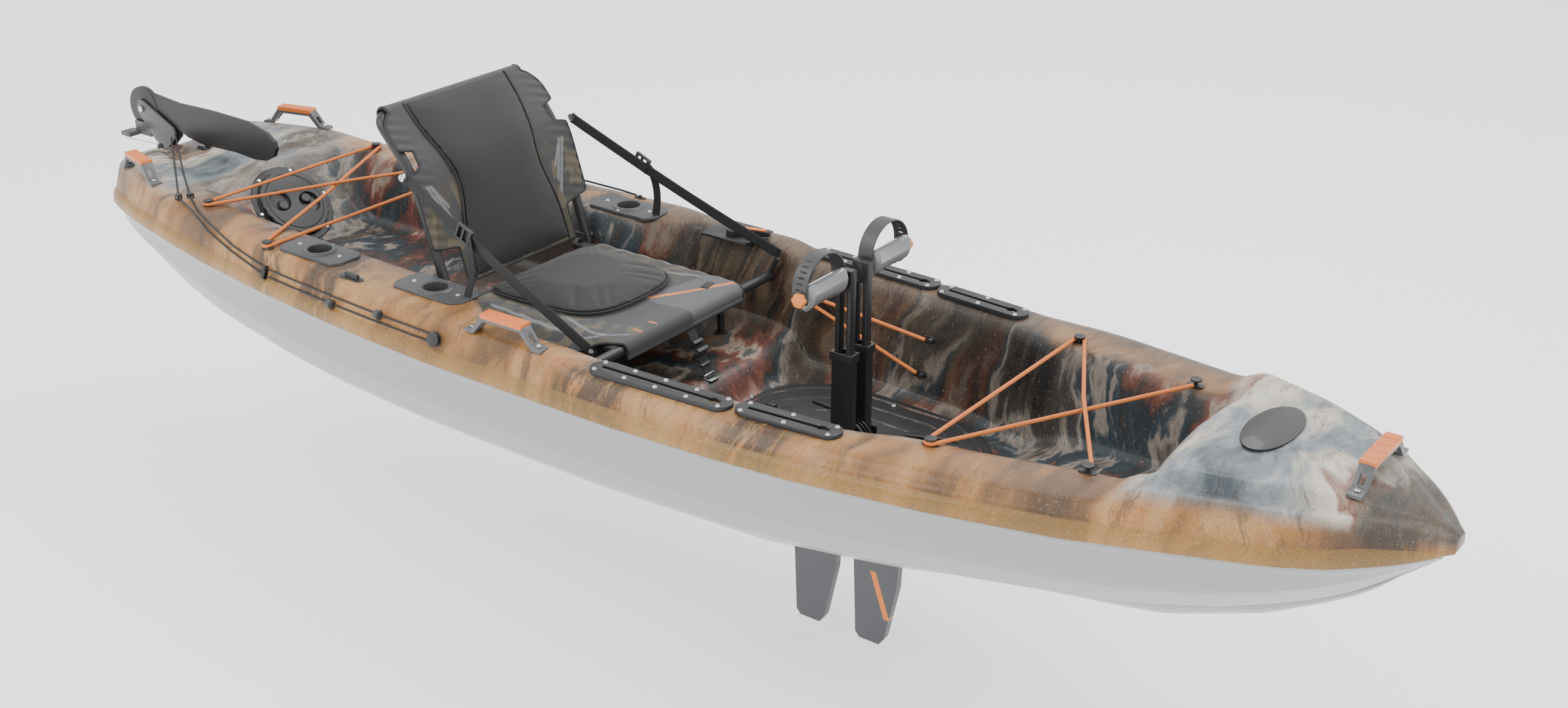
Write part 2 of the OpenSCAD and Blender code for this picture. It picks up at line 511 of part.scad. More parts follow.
module line_fittings() color("#2a2a2c") {
  for (p = [[-1262, -276], [-1250, -252]]) translate(at(p) + [0, 0, 0.6]) difference() {
    translate([-6, -6, 0]) cube([12, 12, 14]);
    translate([0, 0, line_up]) rotate([0, 0, -35]) cube([40, line_d + 5, line_d + 2.6], center = true);
  }
  on_side(-845, (low_h + high_h) / 2) difference() {
    translate([-5, -14, 0]) cube([10, 28, 12]);
    for (s = [-1, 1]) translate([0, s * (low_h - high_h) / 2, line_off - 3.2])
      cube([30, line_d + 6, line_d + 2.6], center = true);
  }
  on_side(-300, (low_h + high_h) / 2) {
    cylinder(r = 15, h = 4);
    cylinder(r = 8, h = 10);
    translate([0, 0, 9]) cylinder(r = 15, h = 3);
  }
  translate(at([-594, -362]) + [0, 0, 0.2]) {
    stadium(62, 20, 4);
    translate([-18, -4, 0]) cube([36, 8, 13]);
  }
  both() translate([rudder_x + 46, -60, 355.2]) cylinder(d1 = 18, d2 = 10, h = 9);
}
// Direction of the face between two stations and the place of a toggle on its line
module toggle(u, h, v) {
  d = side(v, h, line_off) - side(u, h, line_off);
  translate(side(u, h, line_off)) rotate([0, 0, atan(d[1] / d[0])]) rotate([0, 90, 0]) difference() {
    translate([-1.5, -4.6, -6]) cylinder(r = 10, h = 12);
    cylinder(d = line_d + 1.6, h = 60, center = true);
  }
}
module toggle_aft() color("#3c3c40") toggle(-612, low_h, -735);
module toggle_fwd() color("#3c3c40") toggle(-466, high_h, -355);
module steering_cables() color("lightgray") both()
  bar([pivot[0] - 44, -38, 342], [rudder_x + 34, -60, 361], 1.3);

// ---- Steering lever ----
lever_at = [-121, 328];
module at_lever() translate([lever_at[0] * kx, lever_at[1] * ky, gun_z(-121) + seat_gap]) children();
module steering_plate() color("#2b2b2d") at_lever() difference() {
  translate([-66, -38, 0]) cube([122, 104, 5]);
  translate([0, 0, -5]) cylinder(d = 10 + 2 * run_fit, h = 20);
}
module steering_lever() color("#1d1d1f") at_lever() rotate([0, 0, 17]) translate([0, 0, 5.6]) {
  cylinder(r = 20, h = 12);
  translate([0, 0, -4.6]) cylinder(d = 10, h = 6);
  translate([4, -9, 4]) cube([70, 18, 11]);
  translate([74, 0, 4]) cylinder(r = 9, h = 11);
}
module lever_inlay() color("#e0702a") at_lever() rotate([0, 0, 17])
  translate([48, 0, 20.8]) stadium(52, 12, 2.4);

// ---- Seat ----
tr = tube_d / 2;
back_y = seat_half + tube_d + 1;
module seat_frame() color("#2a2a2c") {
  both() {
    difference() {
      bar([hinge[0] - 14, seat_half, seat_z], [-10, seat_half, seat_z], tr);
      translate([hinge[0], seat_half - 20, hinge[1]]) rotate([-90, 0, 0])
        cylinder(d = 10 + 2 * run_fit, h = 50);
    }
    difference() {
      translate([hinge[0] - 14, seat_half - 4, seat_z]) cube([28, 8, 30]);
      translate([hinge[0], seat_half - 20, hinge[1]]) rotate([-90, 0, 0])
        cylinder(d = 10 + 2 * run_fit, h = 50);
    }
    for (p = [[-425, seat_half - 34], [-60, seat_half]]) {
      bar([p[0], p[1], 175], [p[0], p[1], seat_z], 8);
      translate([p[0], p[1], 172.8]) cylinder(r = 15, h = 5);
    }
    bar([-10, 302, seat_z], [10, 306, 330], 6);
  }
  bar([-10, -308 * ky, seat_z], [-10, 308 * ky, seat_z], tr);
  bar([-425, -seat_half, seat_z], [-425, seat_half, seat_z], tr - 2);
}
module seat_sling() color("#3b3c3e") {
  w1 = seat_half + 34;
  translate([0, 0, seat_z + tr + 0.5]) linear_extrude(9)
    polygon([[-405, -w1], [-405, w1], [-150, w1 + 6], [4, seat_half], [4, -seat_half], [-150, -w1 - 6]]);
  translate([5, -seat_half + 4, seat_z - 18]) cube([8, 2 * seat_half - 8, 38]);
}
module seat_pad() color("#1f1f20") translate([0, 0, seat_z + tr + 10]) linear_extrude(pad_t)
  polygon([[-412, -158], [-412, 158], [-190, 150], [-140, 118],
           [-118, 40], [-118, -40], [-140, -118], [-190, -150]]);
module hinge_pins() color("silver") both() translate([hinge[0], seat_half - 12, hinge[1]]) rotate([-90, 0, 0]) {
  cylinder(d = 10, h = tube_d + tr + 16);
  translate([0, 0, tube_d + tr + 13.6]) cylinder(d = 15, h = 2.4);
}
lean = atan2(hinge[0] - bend[0], bend[1] - hinge[1]);
upper_lean = 42;
low_len = norm([bend[0] - hinge[0], bend[1] - hinge[1]]);
up_len = back_len - low_len;
// Frames of the lower and the upper part of the backrest: z runs up along the tubes
module low_back() translate([hinge[0], 0, hinge[1]]) rotate([0, -lean, 0]) children();
module high_back() translate([bend[0], 0, bend[1]]) rotate([0, -upper_lean, 0]) children();
module back_frame() color("#2a2a2c") {
  both() {
    difference() {
      low_back() translate([0, back_y, -14]) cylinder(r = tr, h = low_len + 14);
      translate([hinge[0], 0, hinge[1]]) rotate([-90, 0, 0]) cylinder(d = 10 + 2 * run_fit, h = 400);
    }
    high_back() translate([0, back_y, 0]) cylinder(r = tr, h = up_len);
    translate([bend[0], back_y, bend[1]]) sphere(r = tr + 0.8);
    high_back() translate([0, back_y, up_len]) sphere(r = tr + 0.8);
    high_back() translate([0, back_y, 6]) rotate([-90, 0, 0]) cylinder(r = 6, h = tr + 22);
  }
  high_back() translate([0, -back_y, up_len]) rotate([-90, 0, 0]) cylinder(r = tr, h = 2 * back_y);
}
sling_t = 9;
module back_sling() color("#3b3c3e") {
  low_back() translate([tr + 1.4, -back_y - 20, 96]) cube([sling_t, 2 * (back_y + 20), low_len - 97]);
  high_back() translate([tr + 1.4, -back_y - 8, 3]) cube([sling_t, 2 * (back_y + 8), up_len + 8]);
  low_back() translate([tr + 1.4, -165, 40]) cube([sling_t, 330, 57]);
}
module back_pad() color("#1f1f20") {
  low_back() translate([tr + sling_t + 2, -150, 52]) cube([pad_t, 300, low_len - 56]);
  high_back() translate([tr + sling_t + 2, -150, 8]) cube([pad_t, 300, up_len - 4]);
}
module back_straps() color("#0f0f10") both() {
  bar([bend[0] + 4, back_y + tr + 26, bend[1] + 8], [14, 314, 335], 3);
  translate([14, 314, 335]) sphere(r = 5);
}
module floor_strap() color("#0f0f10") {
  bar([18.5, 0, seat_z - 17], [60, 0, 182], 4);
  translate([44, -14, 172.6]) cube([34, 28, 3]);
}

// ---- Pedal drive ----
module at_drive() translate([drive_x * kx, 0, 0]) children();
ends = [well[0] + 5, well[1] - 5];
mast_y = 28;
mast_w = 24;
drum_r = 58;
module drive_spine() color("#1f1f21") at_drive() difference() {
  union() {
    translate([ends[0], -20, fin_z + 22]) cube([ends[1] - ends[0], 40, 86]);
    for (h = [[ends[0], 8], [1 - fin_gap / 2, fin_gap - 2], [ends[1] - 8, 8]])
      translate([h[0], -15, fin_z - 15]) cube([h[1], 30, 50]);
    for (s = [-1, 1]) translate([-30, s * 47 - 2.5, 96]) cube([60, 5, shaft_z - 96 + 18]);
    translate([-36, -49.5, plate_z + plate_t + 1.4]) cube([12, 99, 5]);
    translate([24, -49.5, plate_z + plate_t + 1.4]) cube([12, 99, 5]);
    for (x = [-36, 24]) translate([x, -20, 80]) cube([12, 40, 45]);
  }
  translate([ends[0] - 1, 0, fin_z]) rotate([0, 90, 0]) cylinder(d = fin_shaft_d, h = 400);
  translate([0, -80, shaft_z]) rotate([-90, 0, 0]) cylinder(d = pedal_shaft_d, h = 160);
  translate([0, -45, shaft_z]) rotate([-90, 0, 0]) cylinder(r = drum_r + 2, h = 90);
}
module pedal_shaft() color("silver") at_drive() translate([0, -54, shaft_z])
  rotate([-90, 0, 0]) cylinder(d = pedal_shaft_d, h = 108);
module fin_shaft() color("silver") at_drive() translate([ends[0] - 2, 0, fin_z])
  rotate([0, 90, 0]) cylinder(d = fin_shaft_d, h = ends[1] - ends[0] + 4);
socket_h = 200;
module mast_stbd() color("#232325") at_drive() translate([0, -mast_y, shaft_z]) difference() {
  union() {
    rotate([90, 0, 0]) translate([0, 0, -mast_w / 2]) cylinder(r = 26, h = mast_w);
    translate([-22, -mast_w / 2, 0]) cube([44, mast_w, socket_h]);
    translate([-26, -mast_w / 2 - 2, socket_h - 18]) cube([52, mast_w + 4, 18]);
  }
  rotate([90, 0, 0]) translate([0, 0, -40]) cylinder(d = pedal_shaft_d + 2 * run_fit, h = 80);
  translate([-18.3, -mast_w / 2 + 2.7, 40]) cube([36.6, mast_w - 5.4, 400]);
}
module mast_port() mirror([0, 1, 0]) mast_stbd();
module pedal_bar_stbd() color("#2c2c2e") at_drive() translate([0, -mast_y, shaft_z]) difference() {
  union() {
    translate([-18, -mast_w / 2 + 3, 60]) cube([36, mast_w - 6, pedal_arm - 60 + 14]);
    translate([0, 0, pedal_arm]) rotate([90, 0, 0]) cylinder(r = 7, h = pad_y - mast_y + pedal_w + 16);
  }
  translate([-8, -50, 80]) cube([16, 100, pedal_arm - 110]);
}
module pedal_bar_port() mirror([0, 1, 0]) pedal_bar_stbd();
pad_y = mast_y + mast_w / 2 + 10;
module pedal_stbd() color("#3a3a3d") at_drive() translate([0, -pad_y, shaft_z + pedal_arm]) difference() {
  rotate([0, 18, 0]) translate([0, 0, -25]) linear_extrude(50)
    intersection() {
      translate([-70, -pedal_w / 2]) circle(r = 95, $fn = 64);
      translate([70, -pedal_w / 2]) circle(r = 95, $fn = 64);
      translate([-30, -pedal_w]) square([60, pedal_w]);
    }
  rotate([90, 0, 0]) translate([0, 0, -20]) cylinder(r = 7 + run_fit, h = pedal_w + 60);
}
module pedal_port() mirror([0, 1, 0]) pedal_stbd();
strap_w = 32;
module foot_strap_stbd() color("#2a2a2c") at_drive()
  translate([0, -pad_y - pedal_w / 2, shaft_z + pedal_arm + 8])
  intersection() {
    difference() {
      translate([-strap_w / 2 - 6, 0, 0]) rotate([0, 90, 0])
        cylinder(r = pedal_w / 2 + 6.5, h = strap_w, $fn = 64);
      translate([-strap_w / 2 - 8, 0, 0]) rotate([0, 90, 0])
        cylinder(r = pedal_w / 2 + 3.5, h = strap_w + 8, $fn = 64);
    }
    translate([-60, -100, 8]) cube([100, 200, 100]);
  }
module foot_strap_port() mirror([0, 1, 0]) foot_strap_stbd();
module lock_knobs_stbd() color("#e0702a") at_drive() translate([0, -pad_y - pedal_w - 8.4, shaft_z + pedal_arm])
  rotate([90, 0, 0]) difference() {
    cylinder(r = 13, h = 12);
    translate([0, 0, -1]) cylinder(r = 7 + run_fit, h = 10);
  }
module lock_knobs_port() mirror([0, 1, 0]) lock_knobs_stbd();

// Fin: a hub on the shaft, a raked mast sleeve and a tapered blade
module fin(x0, x1) color("#5a5b5f") at_drive() translate([0, 0, fin_z]) difference() {
  union() {
    translate([x0, 0, 0]) rotate([0, 90, 0]) cylinder(r = 13, h = x1 - x0);
    rotate([90, 0, 0]) translate([0, 0, -9]) linear_extrude(18)
      polygon([[x0, -6], [x1, -6], [x1 - 8, -fin_len * 0.5], [x1 - 34, -fin_len + 18], [x1 - 46, -fin_len],
               [x0 + 22, -fin_len], [x0 + 12, -fin_len + 12]]);
  }
  translate([x0 - 5, 0, 0]) rotate([0, 90, 0]) cylinder(d = fin_shaft_d + 2 * run_fit, h = x1 - x0 + 10);
}
module fin_front() fin(fin_gap / 2 + 1, fin_gap / 2 + 1 + fin_chord);
module fin_rear() fin(-fin_gap / 2 - 1 - fin_chord, -fin_gap / 2 - 1);

hull_shell();
deck_shell();
drive_well();
drive_plate();
emblem_plate();
hatch_rim();
hatch_seal();
hatch_lid();
rod_holders();
gear_tracks();
handle_bow();
handle_stbd();
paddle_keeper();
handle_stern_stbd();
handle_stern_port();
handle_grips();
deck_screws();
bow_bungee();
stern_bungee();
side_bungee();
bungee_anchors();
rudder_bracket();
rudder_pintle();
rudder_head();
blade_pin();
rudder_blade();
rudder_cradle();
lift_line();
line_fittings();
toggle_aft();
toggle_fwd();
steering_cables();
steering_plate();
steering_lever();
lever_inlay();
seat_frame();
seat_sling();
seat_pad();
hinge_pins();
back_frame();
back_sling();
back_pad();
back_straps();
floor_strap();
drive_spine();
pedal_shaft();
fin_shaft();
mast_stbd();
mast_port();
pedal_bar_stbd();
pedal_bar_port();
pedal_stbd();
pedal_port();
foot_strap_stbd();
foot_strap_port();
lock_knobs_stbd();
lock_knobs_port();
fin_front();
fin_rear();
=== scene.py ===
"""A sit-on-top fishing kayak with a pedal drive, a folding seat and a flip-up rudder."""
import json

import bmesh
import bpy
import numpy as np
from mathutils import Matrix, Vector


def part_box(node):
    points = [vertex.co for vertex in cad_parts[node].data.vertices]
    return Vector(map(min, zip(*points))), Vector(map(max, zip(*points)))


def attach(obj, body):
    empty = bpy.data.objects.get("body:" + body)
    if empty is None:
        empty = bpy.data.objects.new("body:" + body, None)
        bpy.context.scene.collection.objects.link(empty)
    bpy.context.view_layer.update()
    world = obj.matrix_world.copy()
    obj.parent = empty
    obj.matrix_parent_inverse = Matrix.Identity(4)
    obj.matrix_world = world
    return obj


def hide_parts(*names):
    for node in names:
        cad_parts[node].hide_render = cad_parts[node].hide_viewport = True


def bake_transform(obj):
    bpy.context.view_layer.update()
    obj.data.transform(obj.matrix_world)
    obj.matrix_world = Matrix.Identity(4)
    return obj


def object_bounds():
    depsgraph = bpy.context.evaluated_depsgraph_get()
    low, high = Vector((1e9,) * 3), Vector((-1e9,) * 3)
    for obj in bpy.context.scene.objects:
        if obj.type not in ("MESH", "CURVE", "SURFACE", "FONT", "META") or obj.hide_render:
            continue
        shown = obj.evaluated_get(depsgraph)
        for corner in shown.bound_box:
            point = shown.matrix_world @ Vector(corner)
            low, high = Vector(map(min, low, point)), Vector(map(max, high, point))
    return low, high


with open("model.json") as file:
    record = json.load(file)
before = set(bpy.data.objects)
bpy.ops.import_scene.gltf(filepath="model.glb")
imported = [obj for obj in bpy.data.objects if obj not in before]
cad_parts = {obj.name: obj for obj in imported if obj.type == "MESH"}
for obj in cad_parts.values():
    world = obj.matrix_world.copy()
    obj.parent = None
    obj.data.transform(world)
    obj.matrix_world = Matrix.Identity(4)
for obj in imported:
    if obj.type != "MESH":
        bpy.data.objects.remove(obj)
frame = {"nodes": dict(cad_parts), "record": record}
cad_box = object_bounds()
record = frame["record"]
body_of_node = {n: body for body, nodes in record["behaviour"]["bodies"].items() for n in nodes}
slot_of_node = {part["node"]: part["material_slot"] for part in record["subparts"]}

# ---- Camera and studio -------------------------------------------------------------------
# The boat is seen from its starboard bow, from a little above a standing eye, on a white
# sweep under one large soft light and a low fill.
azimuth, elevation, tilt = np.radians([35.783, 24.413, 0.4156])
back = np.array([np.sin(azimuth) * np.cos(elevation), -np.cos(azimuth) * np.cos(elevation), np.sin(elevation)])
right = np.array([np.cos(azimuth), np.sin(azimuth), 0.0])
up = np.cross(back, right)
camera = bpy.data.objects.new("camera", bpy.data.cameras.new("camera"))
bpy.context.scene.collection.objects.link(camera)
turn = np.array([right * np.cos(tilt) + up * np.sin(tilt), up * np.cos(tilt) - right * np.sin(tilt), back]).T
camera.matrix_world = Matrix.Translation((2.3150, -2.8637, 1.8805)) @ Matrix(turn.tolist()).to_4x4()
camera.data.lens = 44.57
camera.data.sensor_width = 36.0
camera.data.clip_end = 60.0
bpy.context.scene.camera = camera


def lamp(name, place, target, size, power):
    """A square area light at place that faces target."""
    data = bpy.data.lights.new(name, "AREA")
    data.size, data.energy = size, power
    light = bpy.data.objects.new(name, data)
    bpy.context.scene.collection.objects.link(light)
    axis = np.array(place) - np.array(target)
    axis /= np.linalg.norm(axis)
    side = np.cross((0.0, 0.0, 1.0), axis)
    side /= np.linalg.norm(side)
    columns = np.array([side, np.cross(axis, side), axis]).T
    light.matrix_world = Matrix.Translation(place) @ Matrix(columns.tolist()).to_4x4()


lamp("key", (-1.6, -3.4, 4.4), (0.0, 0.0, 0.2), 2.6, 120.0)
lamp("over", (0.6, 2.4, 4.2), (0.2, 0.0, 0.2), 2.6, 110.0)
lamp("bow_fill", (4.4, -1.0, 1.8), (0.8, 0.0, 0.2), 2.4, 22.0)
world = bpy.data.worlds.new("studio")
world.use_nodes = True
world.node_tree.nodes["Background"].inputs["Color"].default_value = (1.0, 1.0, 1.0, 1.0)
world.node_tree.nodes["Background"].inputs["Strength"].default_value = 1.35
bpy.context.scene.world = world


class Wire:
    """A socket that takes part in sums; each operator adds the Math node that works it out."""

    def __init__(self, finish, socket):
        self.finish, self.socket = finish, socket

    def math(self, operation, first, second=0.0):
        return self.finish.node("Math", {0: first, 1: second}, operation=operation)

    def __add__(self, other):
        return self.math("ADD", self, other)

    def __sub__(self, other):
        return self.math("SUBTRACT", self, other)

    def __mul__(self, other):
        return self.math("MULTIPLY", self, other)

    def __truediv__(self, other):
        return self.math("DIVIDE", self, other)

    def __pow__(self, other):
        return self.math("POWER", self, other)

    def __rsub__(self, other):
        return self.math("SUBTRACT", other, self)

    __radd__ = __add__
    __rmul__ = __mul__

    def __abs__(self):
        return self.math("ABSOLUTE", self)

    def ease(self, low, high):
        """0 below low, 1 above high, smooth between; the other way round if low is above high."""
        flip = low > high
        return self.finish.node(
            "MapRange", {0: self, 1: min(low, high), 2: max(low, high), 3: float(flip), 4: float(not flip)},
            interpolation_type="SMOOTHSTEP")

    def sine(self):
        return self.math("SINE", self)


class Finish:
    """A material. node() adds a node of any type and returns one of its outputs as a Wire."""

    def __init__(self, name, **constants):
        self.material = bpy.data.materials.new(name)
        self.material.use_nodes = True
        self.tree = self.material.node_tree
        self.shader = self.tree.nodes["Principled BSDF"]
        for socket, value in constants.items():
            self.shader.inputs[socket.replace("_", " ")].default_value = value
        self.place = self.node("TexCoord", output="Object")

    def node(self, kind, inputs=(), output=0, stops=None, **settings):
        node = self.tree.nodes.new("ShaderNode" + kind)
        for key, value in settings.items():
            setattr(node, key, value)
        if stops:
            while len(node.color_ramp.elements) < len(stops):
                node.color_ramp.elements.new(1.0)
            for element, (place, colour) in zip(node.color_ramp.elements, stops):
                element.position = place
                element.color = (*colour, 1.0)
        for key, value in dict(inputs).items():
            self.feed(node.inputs[key], value)
        return Wire(self, node.outputs[output])

    def feed(self, socket, value):
        if isinstance(value, Wire):
            self.tree.links.new(value.socket, socket)
        elif isinstance(value, tuple) and len(value) == 3 and len(socket.default_value) == 4:
            socket.default_value = (*value, 1.0)
        else:
            socket.default_value = value

    def axes(self):
        """The three Object coordinates."""
        sockets = self.node("SeparateXYZ", {0: self.place}).socket.node.outputs
        return [Wire(self, socket) for socket in sockets]

    def stored(self, name):
        """A number that the mesh carries at its points."""
        return self.node("Attribute", output=2, attribute_name=name)

    def set(self, **inputs):
        for key, value in inputs.items():
            self.feed(self.shader.inputs[key.replace("_", " ")], value)
        return self

    def mix(self, factor, first, second, blend="MIX"):
        """A colour between first and second."""
        return self.node("Mix", {0: factor, 6: first, 7: second}, output=2, data_type="RGBA", blend_type=blend)

    def noise(self, scale, detail=3.0, stretch=None, vector=None, roughness=0.55):
        """Noise on the piece; stretch scales each axis first."""
        vector = vector or self.place
        if stretch:
            vector = self.node("Mapping", {0: vector, 3: stretch})
        return self.node("TexNoise", {"Vector": vector, "Scale": scale, "Detail": detail, "Roughness": roughness})

    def bump(self, height, distance, strength=1.0, under=None):
        inputs = {"Height": height, "Distance": distance, "Strength": strength}
        if under:
            inputs["Normal"] = under
        return self.node("Bump", inputs)


floor_finish = Finish("studio_floor", Roughness=0.9, Emission_Color=(1.0, 1.0, 1.0, 1.0), Emission_Strength=0.55)
floor_finish.set(Base_Color=floor_finish.mix(floor_finish.noise(2.0) * 0.02, (0.97, 0.97, 0.97), (0.94, 0.94, 0.94)))
floor_mesh = bpy.data.meshes.new("studio_floor")
reach = 90.0
floor_level = cad_box[0][2] - 0.03
floor_mesh.from_pydata(
    [(x, y, floor_level) for x, y in ((-reach, -reach), (reach, -reach), (reach, reach), (-reach, reach))],
    [], [(0, 1, 2, 3)])
floor_mesh.materials.append(floor_finish.material)
floor_piece = bpy.data.objects.new("studio_floor", floor_mesh)
bpy.context.scene.collection.objects.link(floor_piece)

# ---- Hull --------------------------------------------------------------------------------
# The bottom shell is thermoformed sheet in light grey. It is lofted from half sections on
# the lines plan, with a long chine ridge on each side and a slot for the fins in its keel.
shell_wall = 0.0045
station_step = 0.005


def line(u, *knots):
    """Height or half-breadth in millimetres at stations u, straight between knots, in metres."""
    table = np.array(knots, float) / 1000
    return np.interp(u, table[:, 0], table[:, 1])


def faired(sections, reach):
    """Softens sections lengthwise: each column is averaged with a bell curve of that reach."""
    half = int(3 * reach / station_step)
    bell = np.exp(-0.5 * (np.arange(-half, half + 1) * station_step / reach) ** 2)
    padded = np.pad(sections, ((half, half), (0, 0), (0, 0)), "edge")
    flat = padded.reshape(len(padded), -1)
    soft = np.array([np.convolve(column, bell / bell.sum(), "valid") for column in flat.T]).T
    return soft.reshape(sections.shape)


def corner_cut(sections, times):
    """Rounds every corner along the columns: each span keeps its points at one and three quarters."""
    for _ in range(times):
        near = 0.75 * sections[:, :-1] + 0.25 * sections[:, 1:]
        far = 0.25 * sections[:, :-1] + 0.75 * sections[:, 1:]
        cut = np.stack([near, far], 2).reshape(len(sections), -1, sections.shape[2])
        sections = np.concatenate([sections[:, :1], cut, sections[:, -1:]], 1)
    return sections


def breadth(u):
    return line(u, (-1630, 120), (-1618, 172), (-1595, 214), (-1560, 238), (-1500, 262), (-1411, 290),
                (-1237, 330), (-1087, 360), (-875, 390), (-673, 410), (-508, 422), (-318, 430), (-64, 432),
                (171, 432), (385, 426), (568, 414), (828, 388), (1059, 345), (1266, 280), (1380, 230),
                (1455, 182), (1527, 118), (1575, 62), (1596, 24), (1600, 14))


def seam_height(u):
    return line(u, (-1630, 268), (-1531, 276), (-1087, 272), (-318, 262), (171, 264), (568, 272),
                (828, 284), (1059, 293), (1266, 300), (1452, 296), (1600, 300))


def hull_half(u):
    """Half sections of the hull from the seam to the keel: half-breadth, height and place in the section."""
    b, s = breadth(u), seam_height(u)
    k = np.minimum(1, b / 0.15)
    keel = line(u, (-1630, 230), (-1595, 196), (-1500, 128), (-1420, 92), (-1285, 62), (-1130, 36),
                (-845, 12), (-600, 3), (-480, 0), (80, 0), (110, 2), (620, 2), (763, 2), (930, 3),
                (1060, 10), (1135, 19), (1300, 74), (1411, 134), (1475, 176), (1533, 234), (1559, 258),
                (1590, 284))
    yb = np.minimum(line(u, (-1630, 70), (-1560, 120), (-1420, 160), (-1180, 215), (-740, 258), (0, 268),
                         (400, 258), (700, 222), (930, 165), (1160, 96), (1300, 62), (1455, 34),
                         (1550, 16), (1600, 4)), b - 0.006)
    zb = line(u, (-1630, 240), (-1595, 206), (-1500, 142), (-1285, 80), (-1130, 52), (-845, 22), (-480, 6),
              (0, 6), (400, 16), (620, 32), (840, 54), (1060, 70), (1160, 78), (1300, 112), (1411, 158),
              (1475, 192), (1533, 240), (1559, 262), (1590, 286))
    d = s - zb
    chine = np.minimum(1.0, d / 0.2)
    rows = [(b - 0.004 * k, s - 0.0004), (b - 0.005 * k, s - 0.012 * k), (b - 0.012 * k, s - 0.02 * k),
            (b - 0.017 * k, s - 0.36 * d), (b - 0.018 * k, s - 0.38 * d),
            (b - (0.018 + 0.009 * chine) * k, s - 0.40 * d),
            (b - 0.028 * k, s - 0.43 * d), (yb + (b - yb) * 0.66 - 0.008 * k, s - 0.68 * d),
            (yb + (b - yb) * 0.60 - 0.010 * k, s - 0.715 * d), (yb + 0.012 * k, zb + 0.012 * k),
            (yb - 0.014 * k, zb), (0.72 * yb, (zb + keel) / 2), (0.4 * yb, keel), (0.2 * yb, keel), (0 * u, keel)]
    return np.stack([np.stack([y, z, np.full_like(u, i)], -1) for i, (y, z) in enumerate(rows)], 1)


def both_sides(u, half):
    """Whole sections from port rim to starboard rim, as x, y, z and place in the section."""
    port = np.concatenate([np.repeat(u[:, None, None], half.shape[1], 1), half], 2)
    starboard = port[:, -2::-1] * np.array([1, -1, 1, 1])
    return np.concatenate([port, starboard], 1)


def skin(name, grid, loop_rows=False, loop_columns=False, caps=False, flip=False):
    """A mesh of four-sided faces over a grid of points; loops join the last row or column to the
    first, and caps close both ends with one face each."""
    rows, columns = grid.shape[:2]
    index = np.arange(rows * columns).reshape(rows, columns)
    first, last = index[0].tolist(), index[-1].tolist()
    if loop_rows:
        index = np.vstack([index, index[:1]])
    if loop_columns:
        index = np.hstack([index, index[:, :1]])
    corners = (index[:-1, :-1], index[1:, :-1], index[1:, 1:], index[:-1, 1:])
    faces = np.stack(corners, -1).reshape(-1, 4).tolist()
    if caps:
        faces += [first, last[::-1]]
    if flip:
        faces = [face[::-1] for face in faces]
    mesh = bpy.data.meshes.new(name)
    mesh.from_pydata(grid[..., :3].reshape(-1, 3).tolist(), [], faces)
    mesh.polygons.foreach_set("use_smooth", np.ones(len(mesh.polygons), bool))
    return mesh


def fitted(name, mesh, finish, body, slot, *nodes):
    """Makes the mesh a piece that rides on a body, takes a slot's finish and stands for CAD nodes. Its slot argument is
    not used.
    """
    piece = bpy.data.objects.new(name, mesh)
    bpy.context.scene.collection.objects.link(piece)
    if finish:
        mesh.materials.clear()
        mesh.materials.append(finish.material)
    if body:
        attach(piece, body)
    if nodes:
        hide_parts(*nodes)
    return piece


def walled(piece, wall, offset=-1.0):
    """Gives an open surface its thickness, inwards from the side that faces out, or half to each
    side at an offset of 0."""
    modifier = piece.modifiers.new("wall", "SOLIDIFY")
    modifier.thickness = wall
    modifier.offset = offset
    modifier.use_even_offset = False


def baked(piece):
    """Applies a piece's modifiers to its mesh."""
    graph = bpy.context.evaluated_depsgraph_get()
    mesh = bpy.data.meshes.new_from_object(piece.evaluated_get(graph))
    piece.modifiers.clear()
    piece.data = mesh


def outward(mesh):
    """Turns all faces of a closed mesh outwards."""
    work = bmesh.new()
    work.from_mesh(mesh)
    bmesh.ops.recalc_face_normals(work, faces=work.faces)
    work.to_mesh(mesh)
    work.free()


def closed(name, grid, crease=None, loop_rows=False):
    """A closed mesh over a grid whose rows are loops: its faces point outwards, and edges bent by
    more than crease are sharp. It is capped at its ends unless its columns are loops too."""
    mesh = skin(name, grid, loop_rows=loop_rows, loop_columns=True, caps=not loop_rows)
    outward(mesh)
    if crease:
        mesh.set_sharp_from_angle(angle=crease)
    return mesh


u = np.arange(-1.630, 1.5901, station_step)
hull_sections = corner_cut(faired(hull_half(u), 0.016)[::3], 2)
hull_grid = both_sides(u[::3], hull_sections)
hull_finish = Finish("hull_sheet", Roughness=0.34, Coat_Weight=0.25, Coat_Roughness=0.12)
scuffs = hull_finish.noise(26.0, 6.0, (0.6, 2.0, 5.0)).ease(0.62, 0.78)
clouds = hull_finish.noise(1.4, 3.0)
shade = hull_finish.mix(clouds, (0.30, 0.305, 0.31), (0.34, 0.345, 0.35))
grain = hull_finish.noise(700.0, 2.0)
hull_finish.set(
    Base_Color=hull_finish.mix(scuffs * 0.10, shade, (0.30, 0.30, 0.29)),
    Roughness=0.30 + 0.10 * clouds + 0.12 * scuffs,
    Normal=hull_finish.bump(grain, 0.0002, 0.25, hull_finish.bump(clouds, 0.01, 0.1)))
hull = fitted("hull", skin("hull", hull_grid, caps=True, flip=True), hull_finish, "boat", "hull_grey", "hull_shell")
outward(hull.data)
walled(hull, shell_wall)
baked(hull)
trunk_low, trunk_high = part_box("drive_well")
slot_half = 0.034
cutter = bpy.data.meshes.new("fin_slot")
slot_x = (trunk_low.x + 0.0045, trunk_high.x - 0.0045)
